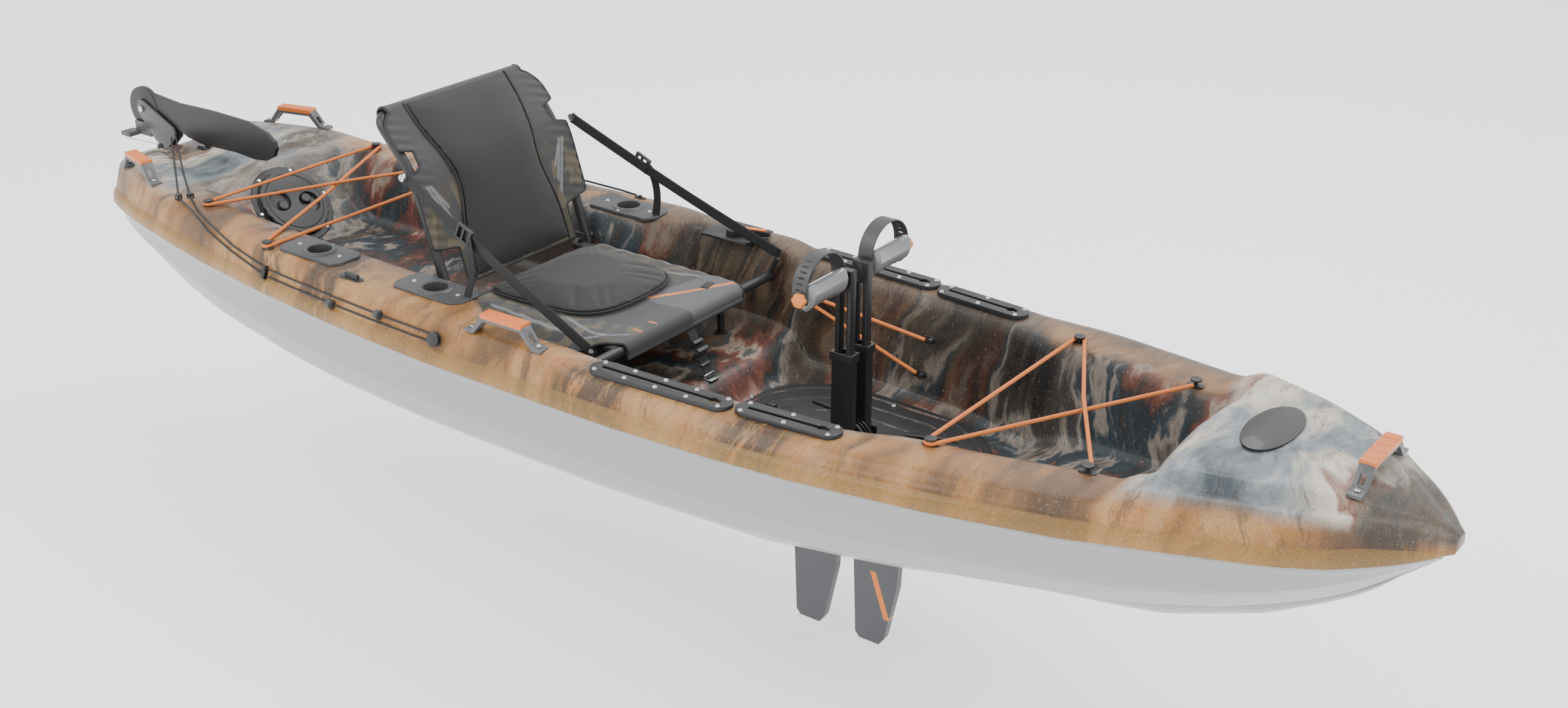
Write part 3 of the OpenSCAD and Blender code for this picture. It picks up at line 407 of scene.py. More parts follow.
cutter.from_pydata([(x, y, z) for x in slot_x for y in (-slot_half, slot_half) for z in (-0.03, 0.03)], [],
                   [(0, 1, 3, 2), (4, 6, 7, 5), (0, 4, 5, 1), (2, 3, 7, 6), (0, 2, 6, 4), (1, 5, 7, 3)])
slot_cutter = bpy.data.objects.new("fin_slot", cutter)
bpy.context.scene.collection.objects.link(slot_cutter)
cut = hull.modifiers.new("slot", "BOOLEAN")
cut.operation, cut.object, cut.solver = "DIFFERENCE", slot_cutter, "EXACT"
baked(hull)
bpy.data.objects.remove(slot_cutter)

# ---- Deck --------------------------------------------------------------------------------
# The top shell is thermoformed from marbled sheet: ochre and cream on the outside, slate,
# rust and dark brown in the wells. It is lofted like the hull and opened under its fittings.


def deck_half(u):
    """Half sections of the deck from the seam to the centreline: half-breadth, height and place."""
    b, s = breadth(u), seam_height(u)
    k = np.minimum(1, b / 0.15)
    g = line(u, (-1630, 330), (-1618, 346), (-1595, 360), (-1560, 366), (-1350, 366), (-1240, 350),
             (-300, 350), (-240, 344), (0, 344), (50, 332), (640, 332), (763, 340), (1060, 348),
             (1100, 354), (1135, 380), (1300, 378), (1455, 366), (1510, 356), (1550, 344), (1600, 318))
    w = line(u, (-1630, 50), (-1560, 110), (-1350, 170), (-1180, 212), (-1085, 222), (-740, 240),
             (-350, 250), (-240, 334), (0, 334), (80, 312), (300, 312), (560, 296), (700, 252),
             (840, 236), (1060, 190), (1135, 205), (1160, 216), (1220, 218), (1300, 190), (1380, 150),
             (1455, 120), (1510, 78), (1550, 34), (1600, 4))
    f = line(u, (-1630, 330), (-1618, 342), (-1560, 350), (-1285, 350), (-1130, 194), (-600, 182),
             (-480, 172), (80, 170), (110, 112), (700, 112), (763, 150), (1060, 190), (1135, 350),
             (1160, 385), (1220, 404), (1300, 400), (1380, 394), (1455, 383), (1510, 362),
             (1550, 347), (1600, 318))
    c = line(u, (-1630, 330), (-1618, 344), (-1560, 352), (-1285, 352), (-1130, 194), (-600, 182),
             (-480, 172), (80, 170), (110, 112), (700, 112), (763, 150), (1060, 190), (1135, 380),
             (1160, 400), (1220, 416), (1300, 414), (1380, 408), (1455, 396), (1510, 372),
             (1550, 352), (1600, 320))
    m = np.clip((g - f) / 0.06, 0, 1)
    run = (0.014 + 0.024 * m) * k
    rows = [(b, s), (b + 0 * u, s + 0.010 * k), (b - 0.003 * k, s + 0.022 * k), (b - 0.012 * k, s + 0.028 * k),
            (b - 0.014 * k, s + 0.036 * k), (b - 0.026 * k, g - 0.014 * k), (b - 0.040 * k, g),
            (w + 0.014 * k, g), (w, g - 0.014 * m), (w - 0.9 * run, f + 0.020 * m), (w - run, f + 0.014 * m),
            (w * 0.93 - run, f), (w * 0.45, (f + 2 * c) / 3), (w * 0.2, c - 0.15 * (c - f)), (0 * u, c - 0.001)]
    return np.stack([np.stack([y, z, np.full_like(u, i)], -1) for i, (y, z) in enumerate(rows)], 1)


u = np.arange(-1.630, 1.6001, station_step)
deck_sections = corner_cut(faired(deck_half(u), 0.011)[::2], 2)
deck_grid = both_sides(u[::2], deck_sections)
deck_mesh = skin("deck", deck_grid, caps=True)


def without_faces(mesh, numbers):
    """Deletes faces by number."""
    work = bmesh.new()
    work.from_mesh(mesh)
    work.faces.ensure_lookup_table()
    bmesh.ops.delete(work, geom=[work.faces[i] for i in numbers], context="FACES")
    work.to_mesh(mesh)
    work.free()


rod_places = (-0.758, 0.303), (-0.408, 0.305)
hatch_centre = np.array([-1.2075, 0, 0.273])
hatch_lean = np.radians(45.55)


def under_fittings(x, y, z):
    """True under the rod holders, the hatch and the drive well."""
    rods = [np.hypot(x - rod_x, abs(y) - rod_y) < 0.035 for rod_x, rod_y in rod_places]
    ahead, above = x - hatch_centre[0], z - hatch_centre[2]
    along = ahead * np.sin(hatch_lean) + above * np.cos(hatch_lean)
    across = ahead * np.cos(hatch_lean) - above * np.sin(hatch_lean)
    hatch = (np.hypot(across, y) < 0.088) & (abs(along) < 0.08)
    well = (abs(x - 0.413) < 0.154) & (abs(y) < 0.056) & (z < 0.16)
    return rods[0] | rods[1] | hatch | well


deck_place = deck_mesh.attributes.new("place", "FLOAT", "POINT")
deck_place.data.foreach_set("value", deck_grid[..., 3].ravel())
centres = np.zeros(len(deck_mesh.polygons) * 3)
deck_mesh.polygons.foreach_get("center", centres)
without_faces(deck_mesh, np.flatnonzero(under_fittings(*centres.reshape(-1, 3).T)))
deck_finish = Finish("deck_sheet", Coat_Weight=0.18, Coat_Roughness=0.2, Specular_IOR_Level=0.45)
place = deck_finish.stored("place")
x_axis, y_axis, z_axis = deck_finish.axes()
swirl = deck_finish.node("TexNoise", {"Vector": deck_finish.place, "Scale": 2.6, "Detail": 2.0}, output=1)
warped = deck_finish.node("VectorMath", {0: swirl, 1: (0.26, 0.26, 0.20), 2: deck_finish.place},
                          operation="MULTIPLY_ADD")
drift = deck_finish.node("TexNoise", {"Vector": deck_finish.place, "Scale": 17.0, "Detail": 5.0}, output=1)
warped = deck_finish.node("VectorMath", {0: drift, 1: (0.030, 0.030, 0.045), 2: warped}, operation="MULTIPLY_ADD")
bands = deck_finish.noise(1.9, 4.0, (2.4, 0.7, 0.7), warped, 0.55)
veils = deck_finish.noise(2.0, 5.0, (2.6, 1.4, 0.6), warped, 0.6)
strands = deck_finish.noise(7.0, 8.0, (6.0, 1.4, 0.7), warped, 0.78)
cracks = deck_finish.noise(5.0, 9.0, (5.0, 1.6, 1.0), warped, 0.86)
speckle = deck_finish.noise(260.0, 3.0)
dark, brown, ochre = (0.008, 0.007, 0.006), (0.045, 0.021, 0.009), (0.32, 0.14, 0.032)
tan, cream, slate, rust = (0.44, 0.24, 0.085), (0.50, 0.45, 0.37), (0.024, 0.042, 0.055), (0.16, 0.045, 0.028)
flank = deck_finish.node("ValToRGB", {0: bands}, stops=[
    (0.30, brown), (0.40, (0.16, 0.075, 0.022)), (0.45, ochre), (0.51, tan),
    (0.57, (0.40, 0.165, 0.045)), (0.63, (0.20, 0.115, 0.028)), (0.70, (0.50, 0.33, 0.15))])
inner = deck_finish.node("ValToRGB", {0: veils}, stops=[
    (0.32, dark), (0.39, (0.05, 0.045, 0.04)), (0.43, (0.26, 0.22, 0.18)), (0.455, slate),
    (0.50, (0.016, 0.019, 0.021)), (0.545, rust), (0.575, (0.34, 0.26, 0.20)),
    (0.61, (0.045, 0.06, 0.066)), (0.68, (0.20, 0.10, 0.04))])
top = deck_finish.node("ValToRGB", {0: veils}, stops=[
    (0.34, (0.05, 0.07, 0.085)), (0.42, (0.22, 0.26, 0.285)), (0.47, cream), (0.54, (0.66, 0.62, 0.54)),
    (0.585, (0.27, 0.105, 0.07)), (0.63, (0.42, 0.33, 0.24)), (0.70, (0.04, 0.05, 0.055))])
wander = (bands - 0.5) * 5.0
inside = (place + wander).ease(6.2, 7.8)
port_top = (y_axis + (veils - 0.5) * 0.3).ease(0.20, 0.33) * (place + wander * 0.6).ease(5.1, 5.9)
port_top = port_top * x_axis.ease(-0.55, -0.2)
colour = deck_finish.mix(inside, flank, inner)
bark = deck_finish.mix(strands.ease(0.4, 0.62), dark, (0.13, 0.085, 0.045))
colour = deck_finish.mix(port_top * 0.85, colour, bark)
plateau = (x_axis + wander * 0.02).ease(1.09, 1.16) * place.ease(4.6, 6.4)
stern_top = (x_axis + wander * 0.02).ease(-1.22, -1.34) * place.ease(4.6, 6.8)
colour = deck_finish.mix(plateau.math("MAXIMUM", plateau, stern_top) * 0.92, colour, top)
tip = (x_axis + (veils - 0.5) * 0.35).ease(1.46, 1.55) * place.ease(3.8, 5.4)
tip_colour = deck_finish.mix(strands.ease(0.4, 0.6), (0.014, 0.022, 0.028), (0.12, 0.09, 0.06))
colour = deck_finish.mix(tip * 0.9, colour, tip_colour)
smear = deck_finish.noise(1.5, 3.0, (3.4, 0.6, 0.5), warped, 0.6).ease(0.50, 0.60) * strands.ease(0.36, 0.52)
colour = deck_finish.mix(smear * (0.85 - 0.45 * plateau), colour, (0.030, 0.019, 0.011))
colour = deck_finish.mix(strands.ease(0.52, 0.66) * 0.60, colour, (0.045, 0.028, 0.016))
colour = deck_finish.mix(cracks.ease(0.42, 0.26) * 0.40, colour, (0.62, 0.50, 0.34))
colour = deck_finish.mix(cracks.ease(0.60, 0.72) * 0.55, colour, dark)
band = place.ease(3.4, 2.7)
colour = deck_finish.mix(band * 0.55, colour, (0.30, 0.165, 0.03))
colour = deck_finish.mix(speckle.ease(0.58, 0.68) * 0.45, colour, (0.02, 0.016, 0.012))
colour = deck_finish.mix(speckle.ease(0.38, 0.30) * 0.25, colour, (0.60, 0.54, 0.46))
deck_finish.set(
    Base_Color=colour, Roughness=0.38 + 0.14 * strands,
    Normal=deck_finish.bump(speckle, 0.0003, 0.3, deck_finish.bump(strands * 0.6 + cracks * 0.4, 0.006, 0.5)))
deck = fitted("deck", deck_mesh, deck_finish, "boat", "deck_camo", "deck_shell")
walled(deck, shell_wall)
baked(deck)


def moulded(name, colour, rough, grain=900.0, **constants):
    """Injection-moulded plastic: an even colour, a fine spark grain and dust in slow clouds."""
    finish = Finish(name, **constants)
    clouds = finish.noise(9.0, 4.0)
    marks = finish.noise(60.0, 5.0, (1.0, 1.0, 4.0)).ease(0.60, 0.76)
    pale = tuple(channel * 1.7 + 0.02 for channel in colour)
    fine = finish.noise(grain, 2.0)
    finish.set(
        Base_Color=finish.mix(clouds * 0.35 + marks * 0.25, colour, pale),
        Roughness=rough - 0.06 + 0.14 * clouds + 0.10 * marks,
        Normal=finish.bump(fine, 0.0002, 0.35))
    return finish


def dressed(node, finish):
    """Gives a CAD node its finish."""
    slots = frame["nodes"][node].data.materials
    slots.clear()
    slots.append(finish.material)


def softened(node, finish, bevel, segments=2):
    """A copy of a CAD node whose edges are rounded, standing for that node."""
    mesh = frame["nodes"][node].data.copy()
    mesh.name = node + "_moulded"
    work = bmesh.new()
    work.from_mesh(mesh)
    bmesh.ops.remove_doubles(work, verts=work.verts, dist=2e-5)
    bmesh.ops.dissolve_limit(work, angle_limit=0.02, verts=work.verts, edges=work.edges)
    for face in work.faces:
        face.smooth = True
    work.to_mesh(mesh)
    work.free()
    piece = fitted(node + "_moulded", mesh, finish, body_of_node[node], slot_of_node[node], node)
    rounding = piece.modifiers.new("rounding", "BEVEL")
    rounding.width, rounding.segments = bevel, segments
    rounding.limit_method, rounding.angle_limit = "ANGLE", np.radians(34)
    rounding.harden_normals = True
    rounding.use_clamp_overlap = True
    return piece


# ---- Drive plate -------------------------------------------------------------------------
# A black moulded plate over the drive well: contour grooves run round it, a raised lip frames
# the slot, and a T-handled latch stands aft of the slot. It is screwed down at its rim.
black_plastic = moulded("black_moulding", (0.016, 0.016, 0.017), 0.46)
drive_x = 0.415


def plate_mesh():
    """Rings from the plate's outline to the slot; x follows a cosine so that the points crowd at
    the ends, and the half-breadth is the root of one less a power of x over the length."""
    x = -0.302 + 0.58 * (1 - np.cos(np.linspace(0, np.pi, 97))) / 2
    span, power = np.where(x < 0, 0.318, 0.290), np.where(x < 0, 3.4, 2.2)
    y = np.minimum(0.252 * np.sqrt(np.maximum(0, 1 - np.abs(x / span) ** power)), 0.240)
    outer = np.concatenate([np.stack([x, y], 1), np.stack([x, -y], 1)[::-1]])
    ray = outer / np.linalg.norm(outer, axis=1, keepdims=True)
    ahead = np.where(ray[:, 0] > 0, 0.142, 0.146)
    abeam = 0.051 / np.maximum(abs(ray[:, 1]), 1e-6)
    inner = ray * np.minimum(ahead / np.maximum(abs(ray[:, 0]), 1e-6), abeam)[:, None]
    low, top, cut = 0.1124, 0.1184, 0.1164
    profile = [(0, low), (0, top - 0.0015), (0.012, top), (0.09, top), (0.10, cut), (0.125, cut), (0.135, top),
               (0.30, top), (0.31, cut), (0.33, cut), (0.34, top), (0.56, top), (0.57, cut), (0.59, cut),
               (0.60, top), (0.86, top), (0.90, top + 0.0035), (0.99, top + 0.0035), (1.0, top + 0.002), (1.0, low)]
    rings = [np.column_stack([outer * (1 - t) + inner * t + (drive_x, 0), np.full(len(outer), z)])
             for t, z in profile]
    return closed("drive_plate_moulded", np.array(rings), loop_rows=True)


drive_plate = fitted("drive_plate_moulded", plate_mesh(), black_plastic, "boat", "black_moulding", "drive_plate")
drive_plate.data.polygons.foreach_set("use_smooth", np.zeros(len(drive_plate.data.polygons), bool))
dressed("drive_well", black_plastic)


def blocks(name, parts, bevel):
    """Rounded blocks in one mesh; each part is its centre, its size and its turns about X, Y and Z
    in degrees."""
    work = bmesh.new()
    for centre, size, *turns in parts:
        turned = Matrix.Identity(4)
        for angle, axis in zip(turns, "XYZ"):
            turned = Matrix.Rotation(np.radians(angle), 4, axis) @ turned
        made = bmesh.ops.create_cube(work, size=1.0)["verts"]
        placed = Matrix.Translation(centre) @ turned @ Matrix.Diagonal((*size, 1.0))
        bmesh.ops.transform(work, matrix=placed, verts=made)
    bmesh.ops.bevel(work, geom=work.edges[:], offset=bevel, segments=3, affect="EDGES", profile=0.5,
                    clamp_overlap=True)
    for face in work.faces:
        face.smooth = True
    mesh = bpy.data.meshes.new(name)
    work.to_mesh(mesh)
    work.free()
    mesh.set_sharp_from_angle(angle=np.radians(50))
    return mesh


fitted("drive_latch", blocks("drive_latch", [
    ((0.232, 0, 0.1255), (0.085, 0.022, 0.012)), ((0.196, 0, 0.1285), (0.018, 0.074, 0.016)),
    ((0.196, 0.034, 0.133), (0.022, 0.012, 0.014)), ((0.196, -0.034, 0.133), (0.022, 0.012, 0.014)),
    ((0.520, 0.13, 0.1215), (0.10, 0.018, 0.006), 0, 0, 24), ((0.520, -0.13, 0.1215), (0.10, 0.018, 0.006), 0, 0, -24),
    ((0.300, 0.125, 0.1215), (0.13, 0.016, 0.006), 0, 0, -6), ((0.300, -0.125, 0.1215), (0.13, 0.016, 0.006), 0, 0, 6)],
    0.0022), black_plastic, "boat", "black_moulding")
softened("emblem_plate", moulded("emblem_black", (0.006, 0.006, 0.007), 0.42, 400.0, Coat_Weight=0.15), 0.0008)

# ---- Round hatch ---------------------------------------------------------------------------
# A screw-down hatch of 150 mm on the sloping bulkhead: a flat rim on six screws, a rubber
# seal and a lid with two hooked finger recesses and a scalloped edge.
hatch_turn = np.array([[np.cos(hatch_lean), 0, np.sin(hatch_lean)], [0, 1, 0],
                       [-np.sin(hatch_lean), 0, np.cos(hatch_lean)]])
around = np.linspace(0, 2 * np.pi, 145)[:-1]


def turned_ring(radius, height):
    """A circle of points about Z."""
    return np.stack([radius * np.cos(around), radius * np.sin(around), height + 0 * around], 1)


rim_profile = [(0.0805, -0.028), (0.0805, 0.001), (0.104, 0.001), (0.104, 0.0055), (0.1015, 0.008), (0.0895, 0.008),
               (0.0885, 0.0068), (0.086, 0.0068), (0.085, 0.008), (0.0765, 0.008), (0.0755, 0.007), (0.0755, -0.028)]
rim = np.array([turned_ring(r, z) for r, z in rim_profile])
fitted("hatch_rim_moulded", closed("hatch_rim_moulded", rim @ hatch_turn.T + hatch_centre, 0.5, True),
       black_plastic, "boat", "black_moulding", "hatch_rim")


def lid_mesh():
    """The lid's top is lowered in two discs whose rims each curl round the other, and its edge
    has twenty-four scallops. Below it a hollow skirt reaches into the rim."""
    scallop = 0.0012 * np.cos(24 * around)[:, None]
    edge = [(0.074, -0.014, 0), (0.074, 0.0118, 0), (0.0862, 0.0118, 1), (0.087, 0.013, 1),
            (0.087, 0.018, 1), (0.085, 0.0206, 1), (0.0815, 0.0208, 0)]
    rings = []
    for radius, height, wave in edge:
        ring = turned_ring(radius, height)
        ring[:, :2] *= 1 - wave * scallop / 0.087 * 0.9
        rings.append(ring)
    for radius in np.linspace(0.080, 0.0006, 60):
        ring = turned_ring(radius, 0.0208)
        x = ring[:, 0] * np.cos(1.08) + ring[:, 1] * np.sin(1.08)
        y = ring[:, 1] * np.cos(1.08) - ring[:, 0] * np.sin(1.08)
        sink = 0 * x
        for s in (-1, 1):
            disc = np.clip((0.0275 - np.hypot(x - s * 0.038, y - s * 0.006)) / 0.003, 0, 1)
            hook = np.clip((np.hypot(x - s * 0.030, y - s * 0.016) - 0.0115) / 0.003, 0, 1)
            sink = np.maximum(sink, disc * disc * (3 - 2 * disc) * hook)
        groove = np.clip(1 - abs(np.hypot(x, y) - 0.0735) / 0.0016, 0, 1)
        ring[:, 2] -= 0.0085 * sink + 0.0012 * groove
        rings.append(ring)
    return closed("hatch_lid_moulded", np.array(rings) @ hatch_turn.T + hatch_centre, 0.6)


fitted("hatch_lid_moulded", lid_mesh(), black_plastic, body_of_node["hatch_lid"], "black_moulding", "hatch_lid")
dressed("hatch_seal", moulded("seal_rubber", (0.010, 0.010, 0.010), 0.72, 500.0))

# ---- Rod holders, gear tracks, handles and screws ------------------------------------------
# Flush rod holders have lens-shaped flanges, a raised collar and a closed tube. Tracks and
# handles are moulded plastic; orange grips clip over the handles. Screws are stainless.
dark_plastic = moulded("dark_moulding", (0.042, 0.043, 0.046), 0.44)


def rod_holder(centre):
    """Rings from the foot of the tube, out to the lens-shaped flange, up over the collar and
    down the bore. The outline is where a ray first meets two arcs or the two flat ends."""
    ray = np.stack([np.cos(around), np.sin(around)], 1)
    arcs = []
    for s in (-1, 1):
        along = ray[:, 1] * s * 0.0358
        arcs.append(along + np.sqrt(along ** 2 - 0.0358 ** 2 + 0.1118 ** 2))
    flats = np.minimum(0.095 / np.maximum(abs(ray[:, 0]), 1e-6), 0.044 / np.maximum(abs(ray[:, 1]), 1e-6))
    outline = np.minimum(np.minimum(*arcs), flats)
    shape = [(0, 0.028, -0.154), (0, 0.028, -0.0005), (1, -0.0005, 0), (1, 0, 0.0015), (1, 0, 0.0055),
             (1, -0.0022, 0.008), (0.90, 0, 0.0082), (0, 0.0385, 0.0084), (0, 0.0355, 0.0115),
             (0, 0.0335, 0.0125), (0, 0.029, 0.0125), (0, 0.0262, 0.011), (0, 0.0252, 0.007),
             (0, 0.0252, -0.150)]
    rings = []
    for mix, add, height in shape:
        radius = mix * outline + add
        rings.append(np.column_stack([ray * radius[:, None], np.full(len(ray), height)]))
    return np.array(rings) + centre


def joined(name, meshes, weld=0.0):
    """One mesh made of several; points closer than weld become one."""
    work = bmesh.new()
    for mesh in meshes:
        work.from_mesh(mesh)
    if weld:
        bmesh.ops.remove_doubles(work, verts=work.verts, dist=weld)
    bmesh.ops.recalc_face_normals(work, faces=work.faces)
    merged = bpy.data.meshes.new(name)
    work.to_mesh(merged)
    work.free()
    return merged


gunwale_z = 0.3504
rod_meshes = [skin("rod", rod_holder((x, s * y, gunwale_z)), loop_columns=True, caps=True)
              for s in (-1, 1) for x, y in rod_places]
rod_holders = fitted("rod_holders_moulded", joined("rod_holders_moulded", rod_meshes), dark_plastic,
                     "boat", slot_of_node["rod_holders"], "rod_holders")
rod_holders.data.set_sharp_from_angle(angle=0.6)
softened("gear_tracks", black_plastic, 0.0012)
for node in ("handle_bow", "handle_stbd", "handle_stern_stbd", "handle_stern_port"):
    softened(node, moulded(node + "_grey", (0.085, 0.087, 0.092), 0.4), 0.0025, 3)
grip_parts = []
handle_places = ((1.455, 0.0, 90.0, 0.186, 0.3900), (-0.133, -0.390, 1.5, 0.168, 0.3446),
                 (-1.444, -0.240, -15.0, 0.158, 0.3666), (-1.444, 0.240, 15.0, 0.158, 0.3666))
for x, y, yaw, span, foot in handle_places:
    c, s = np.cos(np.radians(yaw)), np.sin(np.radians(yaw))
    reach_of_grip = span - 0.062
    grip_parts.append(((x, y, foot + 0.0435), (reach_of_grip, 0.0295, 0.0105), 0, 0, yaw))
    for k in (-0.36, -0.12, 0.12, 0.36):
        rib_place = (x + c * k * reach_of_grip, y + s * k * reach_of_grip, foot + 0.0485)
        grip_parts.append((rib_place, (0.009, 0.024, 0.0025), 0, 0, yaw))
fitted("grips", blocks("grips", grip_parts, 0.0011), moulded("orange_moulding", (0.62, 0.15, 0.025), 0.42), "boat",
       slot_of_node["handle_grips"], "handle_grips")
steel = Finish("steel", Metallic=1.0)
turning = steel.noise(420.0, 3.0, (1.0, 1.0, 0.2))
steel.set(
    Base_Color=steel.mix(turning, (0.52, 0.53, 0.54), (0.74, 0.74, 0.74)),
    Roughness=0.18 + 0.18 * turning,
    Normal=steel.bump(turning, 0.0001, 0.3))
dressed("deck_screws", steel)

# ---- Bungees, lines and posts --------------------------------------------------------------
# Orange shock cord is laced round button posts on the bow, stern and footwell side; a black
# lift line runs along the starboard side and a paddle keeper along the port side.


def braided(name, colour, tracer, pitch):
    """Woven cord jacket: two crossed sets of ribs with a few tracer strands."""
    finish = Finish(name)
    x, y, z = finish.axes()
    weave = ((x + y * 0.7 + z) * pitch).sine() * ((x - y * 0.7 - z) * pitch).sine()
    fuzz = finish.noise(800.0, 2.0)
    finish.set(
        Base_Color=finish.mix((weave * 0.5 + 0.5) * 0.6 + fuzz * 0.2, colour, tracer),
        Roughness=0.62 + 0.2 * fuzz,
        Normal=finish.bump(weave, 0.0004, 0.6))
    return finish


orange_cord = braided("orange_bungee", (0.60, 0.13, 0.02), (0.85, 0.30, 0.08), 1400.0)
black_line = braided("black_cord", (0.012, 0.012, 0.013), (0.05, 0.05, 0.052), 1800.0)
for node in ("bow_bungee", "stern_bungee", "side_bungee"):
    dressed(node, orange_cord)
for node in ("lift_line", "paddle_keeper"):
    dressed(node, black_line)
softened("bungee_anchors", black_plastic, 0.001)
softened("line_fittings", black_plastic, 0.001)
for node in ("toggle_aft", "toggle_fwd"):
    softened(node, dark_plastic, 0.0012)

# ---- Rudder and steering -------------------------------------------------------------------
# A flip-up rudder: a steel-hung head turns on the transom bracket, its blade lies forward in
# a cradle on the stern deck, and thin steel cables run to the lever on the port gunwale.
softened("rudder_bracket", dark_plastic, 0.0015)
softened("rudder_head", moulded("head_grey", (0.060, 0.061, 0.065), 0.36), 0.0012, 2)
softened("rudder_blade", moulded("blade_black", (0.013, 0.013, 0.014), 0.40), 0.0035, 4)
softened("rudder_cradle", black_plastic, 0.001)
for node in ("rudder_pintle", "blade_pin", "steering_cables"):
    dressed(node, steel)
softened("steering_plate", black_plastic, 0.0012)
softened("steering_lever", black_plastic, 0.0022, 3)
softened("lever_inlay", moulded("inlay_orange", (0.62, 0.16, 0.03), 0.4), 0.0006)

# ---- Seat ----------------------------------------------------------------------------------
# A framed folding seat: black tubes carry a stretched base and back of coated cloth with
# camouflage side panels, piped seams and bound edges, and a smooth stuffed centre panel.
tube_finish = moulded("black_tube", (0.020, 0.020, 0.022), 0.38, 1200.0)
dressed("seat_frame", tube_finish)
dressed("hinge_pins", steel)


def swept(points, radius, sides=10, loop=False):
    """A grid for skin(): circles of the given radius square to the path, carried along it."""
    points = np.array(points, float)
    if loop:
        ahead, behind = np.roll(points, -1, 0), np.roll(points, 1, 0)
    else:
        ahead, behind = np.vstack([points[1:], points[-1:]]), np.vstack([points[:1], points[:-1]])
    along = ahead - behind
    along /= np.linalg.norm(along, axis=1, keepdims=True)
    guide = np.where(abs(along[:, 2:]) > 0.9, [[1.0, 0, 0]], [[0, 0, 1.0]])
    side = np.cross(guide, along)
    side /= np.linalg.norm(side, axis=1, keepdims=True)
    rise = np.cross(along, side)
    turn = np.linspace(0, 2 * np.pi, sides + 1)[:-1]
    radius = np.broadcast_to(radius, len(points))[:, None, None]
    return points[:, None] + radius * (side[:, None] * np.cos(turn)[:, None] + rise[:, None] * np.sin(turn)[:, None])


def eased(points, times=3):
    """Rounds the corners of an open path."""
    points = np.array(points, float)
    return corner_cut(points[None], times)[0]


def tube(name, path, radius, sides=12):
    """A closed tube along an open path."""
    return closed(name, swept(path, radius, sides), 0.9)


back_lean, upper_lean = np.radians([17.66, 42.0])
hinge, bend = np.array([-0.462, 0.300]), np.array([-0.540, 0.545])
low_up = np.array([-np.sin(back_lean), np.cos(back_lean)])
high_up = np.array([-np.sin(upper_lean), np.cos(upper_lean)])
low_front = np.array([np.cos(back_lean), np.sin(back_lean)])
high_front = np.array([np.cos(upper_lean), np.sin(upper_lean)])
low_length, high_length = 0.2571, 0.1479
frame_y = 0.219
crown_corner = bend + high_up * high_length
side_path = [(*(hinge - low_up * 0.014), frame_y), (*(bend - low_up * 0.03), frame_y),
             (*(bend + high_up * 0.03), frame_y), (*(crown_corner - high_up * 0.062), frame_y),
             (*crown_corner, frame_y), (*crown_corner, frame_y - 0.062)]
half_frame = eased([(x, y, z) for x, z, y in side_path], 4)
whole_frame = np.vstack([half_frame, half_frame[::-1] * (1, -1, 1)])
fitted("back_tube", tube("back_tube", whole_frame, 0.011, 16), tube_finish, "backrest", "black_tube", "back_frame")


def back_line(samples=400):
    """The middle of the back cloth in the XZ plane from its foot over the top tube, with its
    normals: two straight runs whose bend is faired, then a half turn round the tube."""
    lift = 0.0169
    low_run, high_run = np.linspace(0.0, low_length, 60)[:, None], np.linspace(0.004, high_length, 40)[:, None]
    turn = np.linspace(0.1, 2.9, 26)[:, None]
    path = np.vstack([hinge + low_up * low_run + low_front * lift, bend + high_up * high_run + high_front * lift,
                      crown_corner + (high_front * np.cos(turn) + high_up * np.sin(turn)) * lift])
    steps = np.r_[0, np.cumsum(np.linalg.norm(np.diff(path, axis=0), axis=1))]
    even = np.linspace(0, steps[-1], samples)
    path = np.stack([np.interp(even, steps, path[:, i]) for i in (0, 1)], 1)
    bell = np.exp(-0.5 * (np.arange(-60, 61) / 24) ** 2)
    padded = np.pad(path, ((60, 60), (0, 0)), "reflect", reflect_type="odd")
    soft = np.stack([np.convolve(column, bell / bell.sum(), "valid") for column in padded.T], 1)
    keep = np.clip((even - 0.36) / 0.04, 0, 1)[:, None]
    path = soft * (1 - keep) + path * keep
    along = np.gradient(path, axis=0)
    along /= np.linalg.norm(along, axis=1, keepdims=True)
    return even, path, np.stack([along[:, 1], -along[:, 0]], 1)


back_v, back_path, back_normal = back_line()


def on_back(v, y, lift):
    """A point of the back at arc length v, breadth y and height lift above its cloth."""
    x, z = (np.interp(v, back_v, back_path[:, i]) for i in (0, 1))
    nx, nz = (np.interp(v, back_v, back_normal[:, i]) for i in (0, 1))
    return np.stack([x + nx * lift, y + 0 * x, z + nz * lift], -1)


def step(value, low, high):
    """0 below low, 1 above high, smooth between; the other way round if low is above high."""
    t = np.clip((value - low) / (high - low), 0, 1)
    return t * t * (3 - 2 * t)


def back_breadth(v):
    """Half-breadth of the back: wide wings with a notch at the straps' bolts, one at the hips
    and round corners at the top."""
    wing = 0.168 + 0.071 * step(v, 0.088, 0.106) - 0.006 * step(v, 0.27, 0.33)
    notch = 0.036 * step(v, 0.262, 0.276) * step(v, 0.326, 0.312)
    corner = 0.062 - np.sqrt(np.maximum(0, 0.062 ** 2 - np.clip(v - 0.352, 0, 0.062) ** 2))
    return wing - notch - corner


def panel_breadth(v):
    """Half-breadth of the centre panel: waisted at the lumbar bend."""
    return 0.148 - 0.026 * np.exp(-((v - 0.215) / 0.085) ** 2) + 0.004 * step(v, 0.3, 0.4)


cloth_v = np.linspace(0.012, back_v[-1] - 0.002, 200)[:, None]
across = np.linspace(-1, 1, 161)[None]
cloth_y = across * back_breadth(np.minimum(cloth_v, 0.407))
sag = 0.006 * np.cos(across * np.pi / 2) ** 2 * step(cloth_v, 0.04, 0.12) * step(cloth_v, 0.40, 0.34)
pucker = 0.0010 * np.sin(cloth_v * 260 + 3 * np.sin(cloth_y * 30)) * step(abs(cloth_y), 0.16, 0.22)


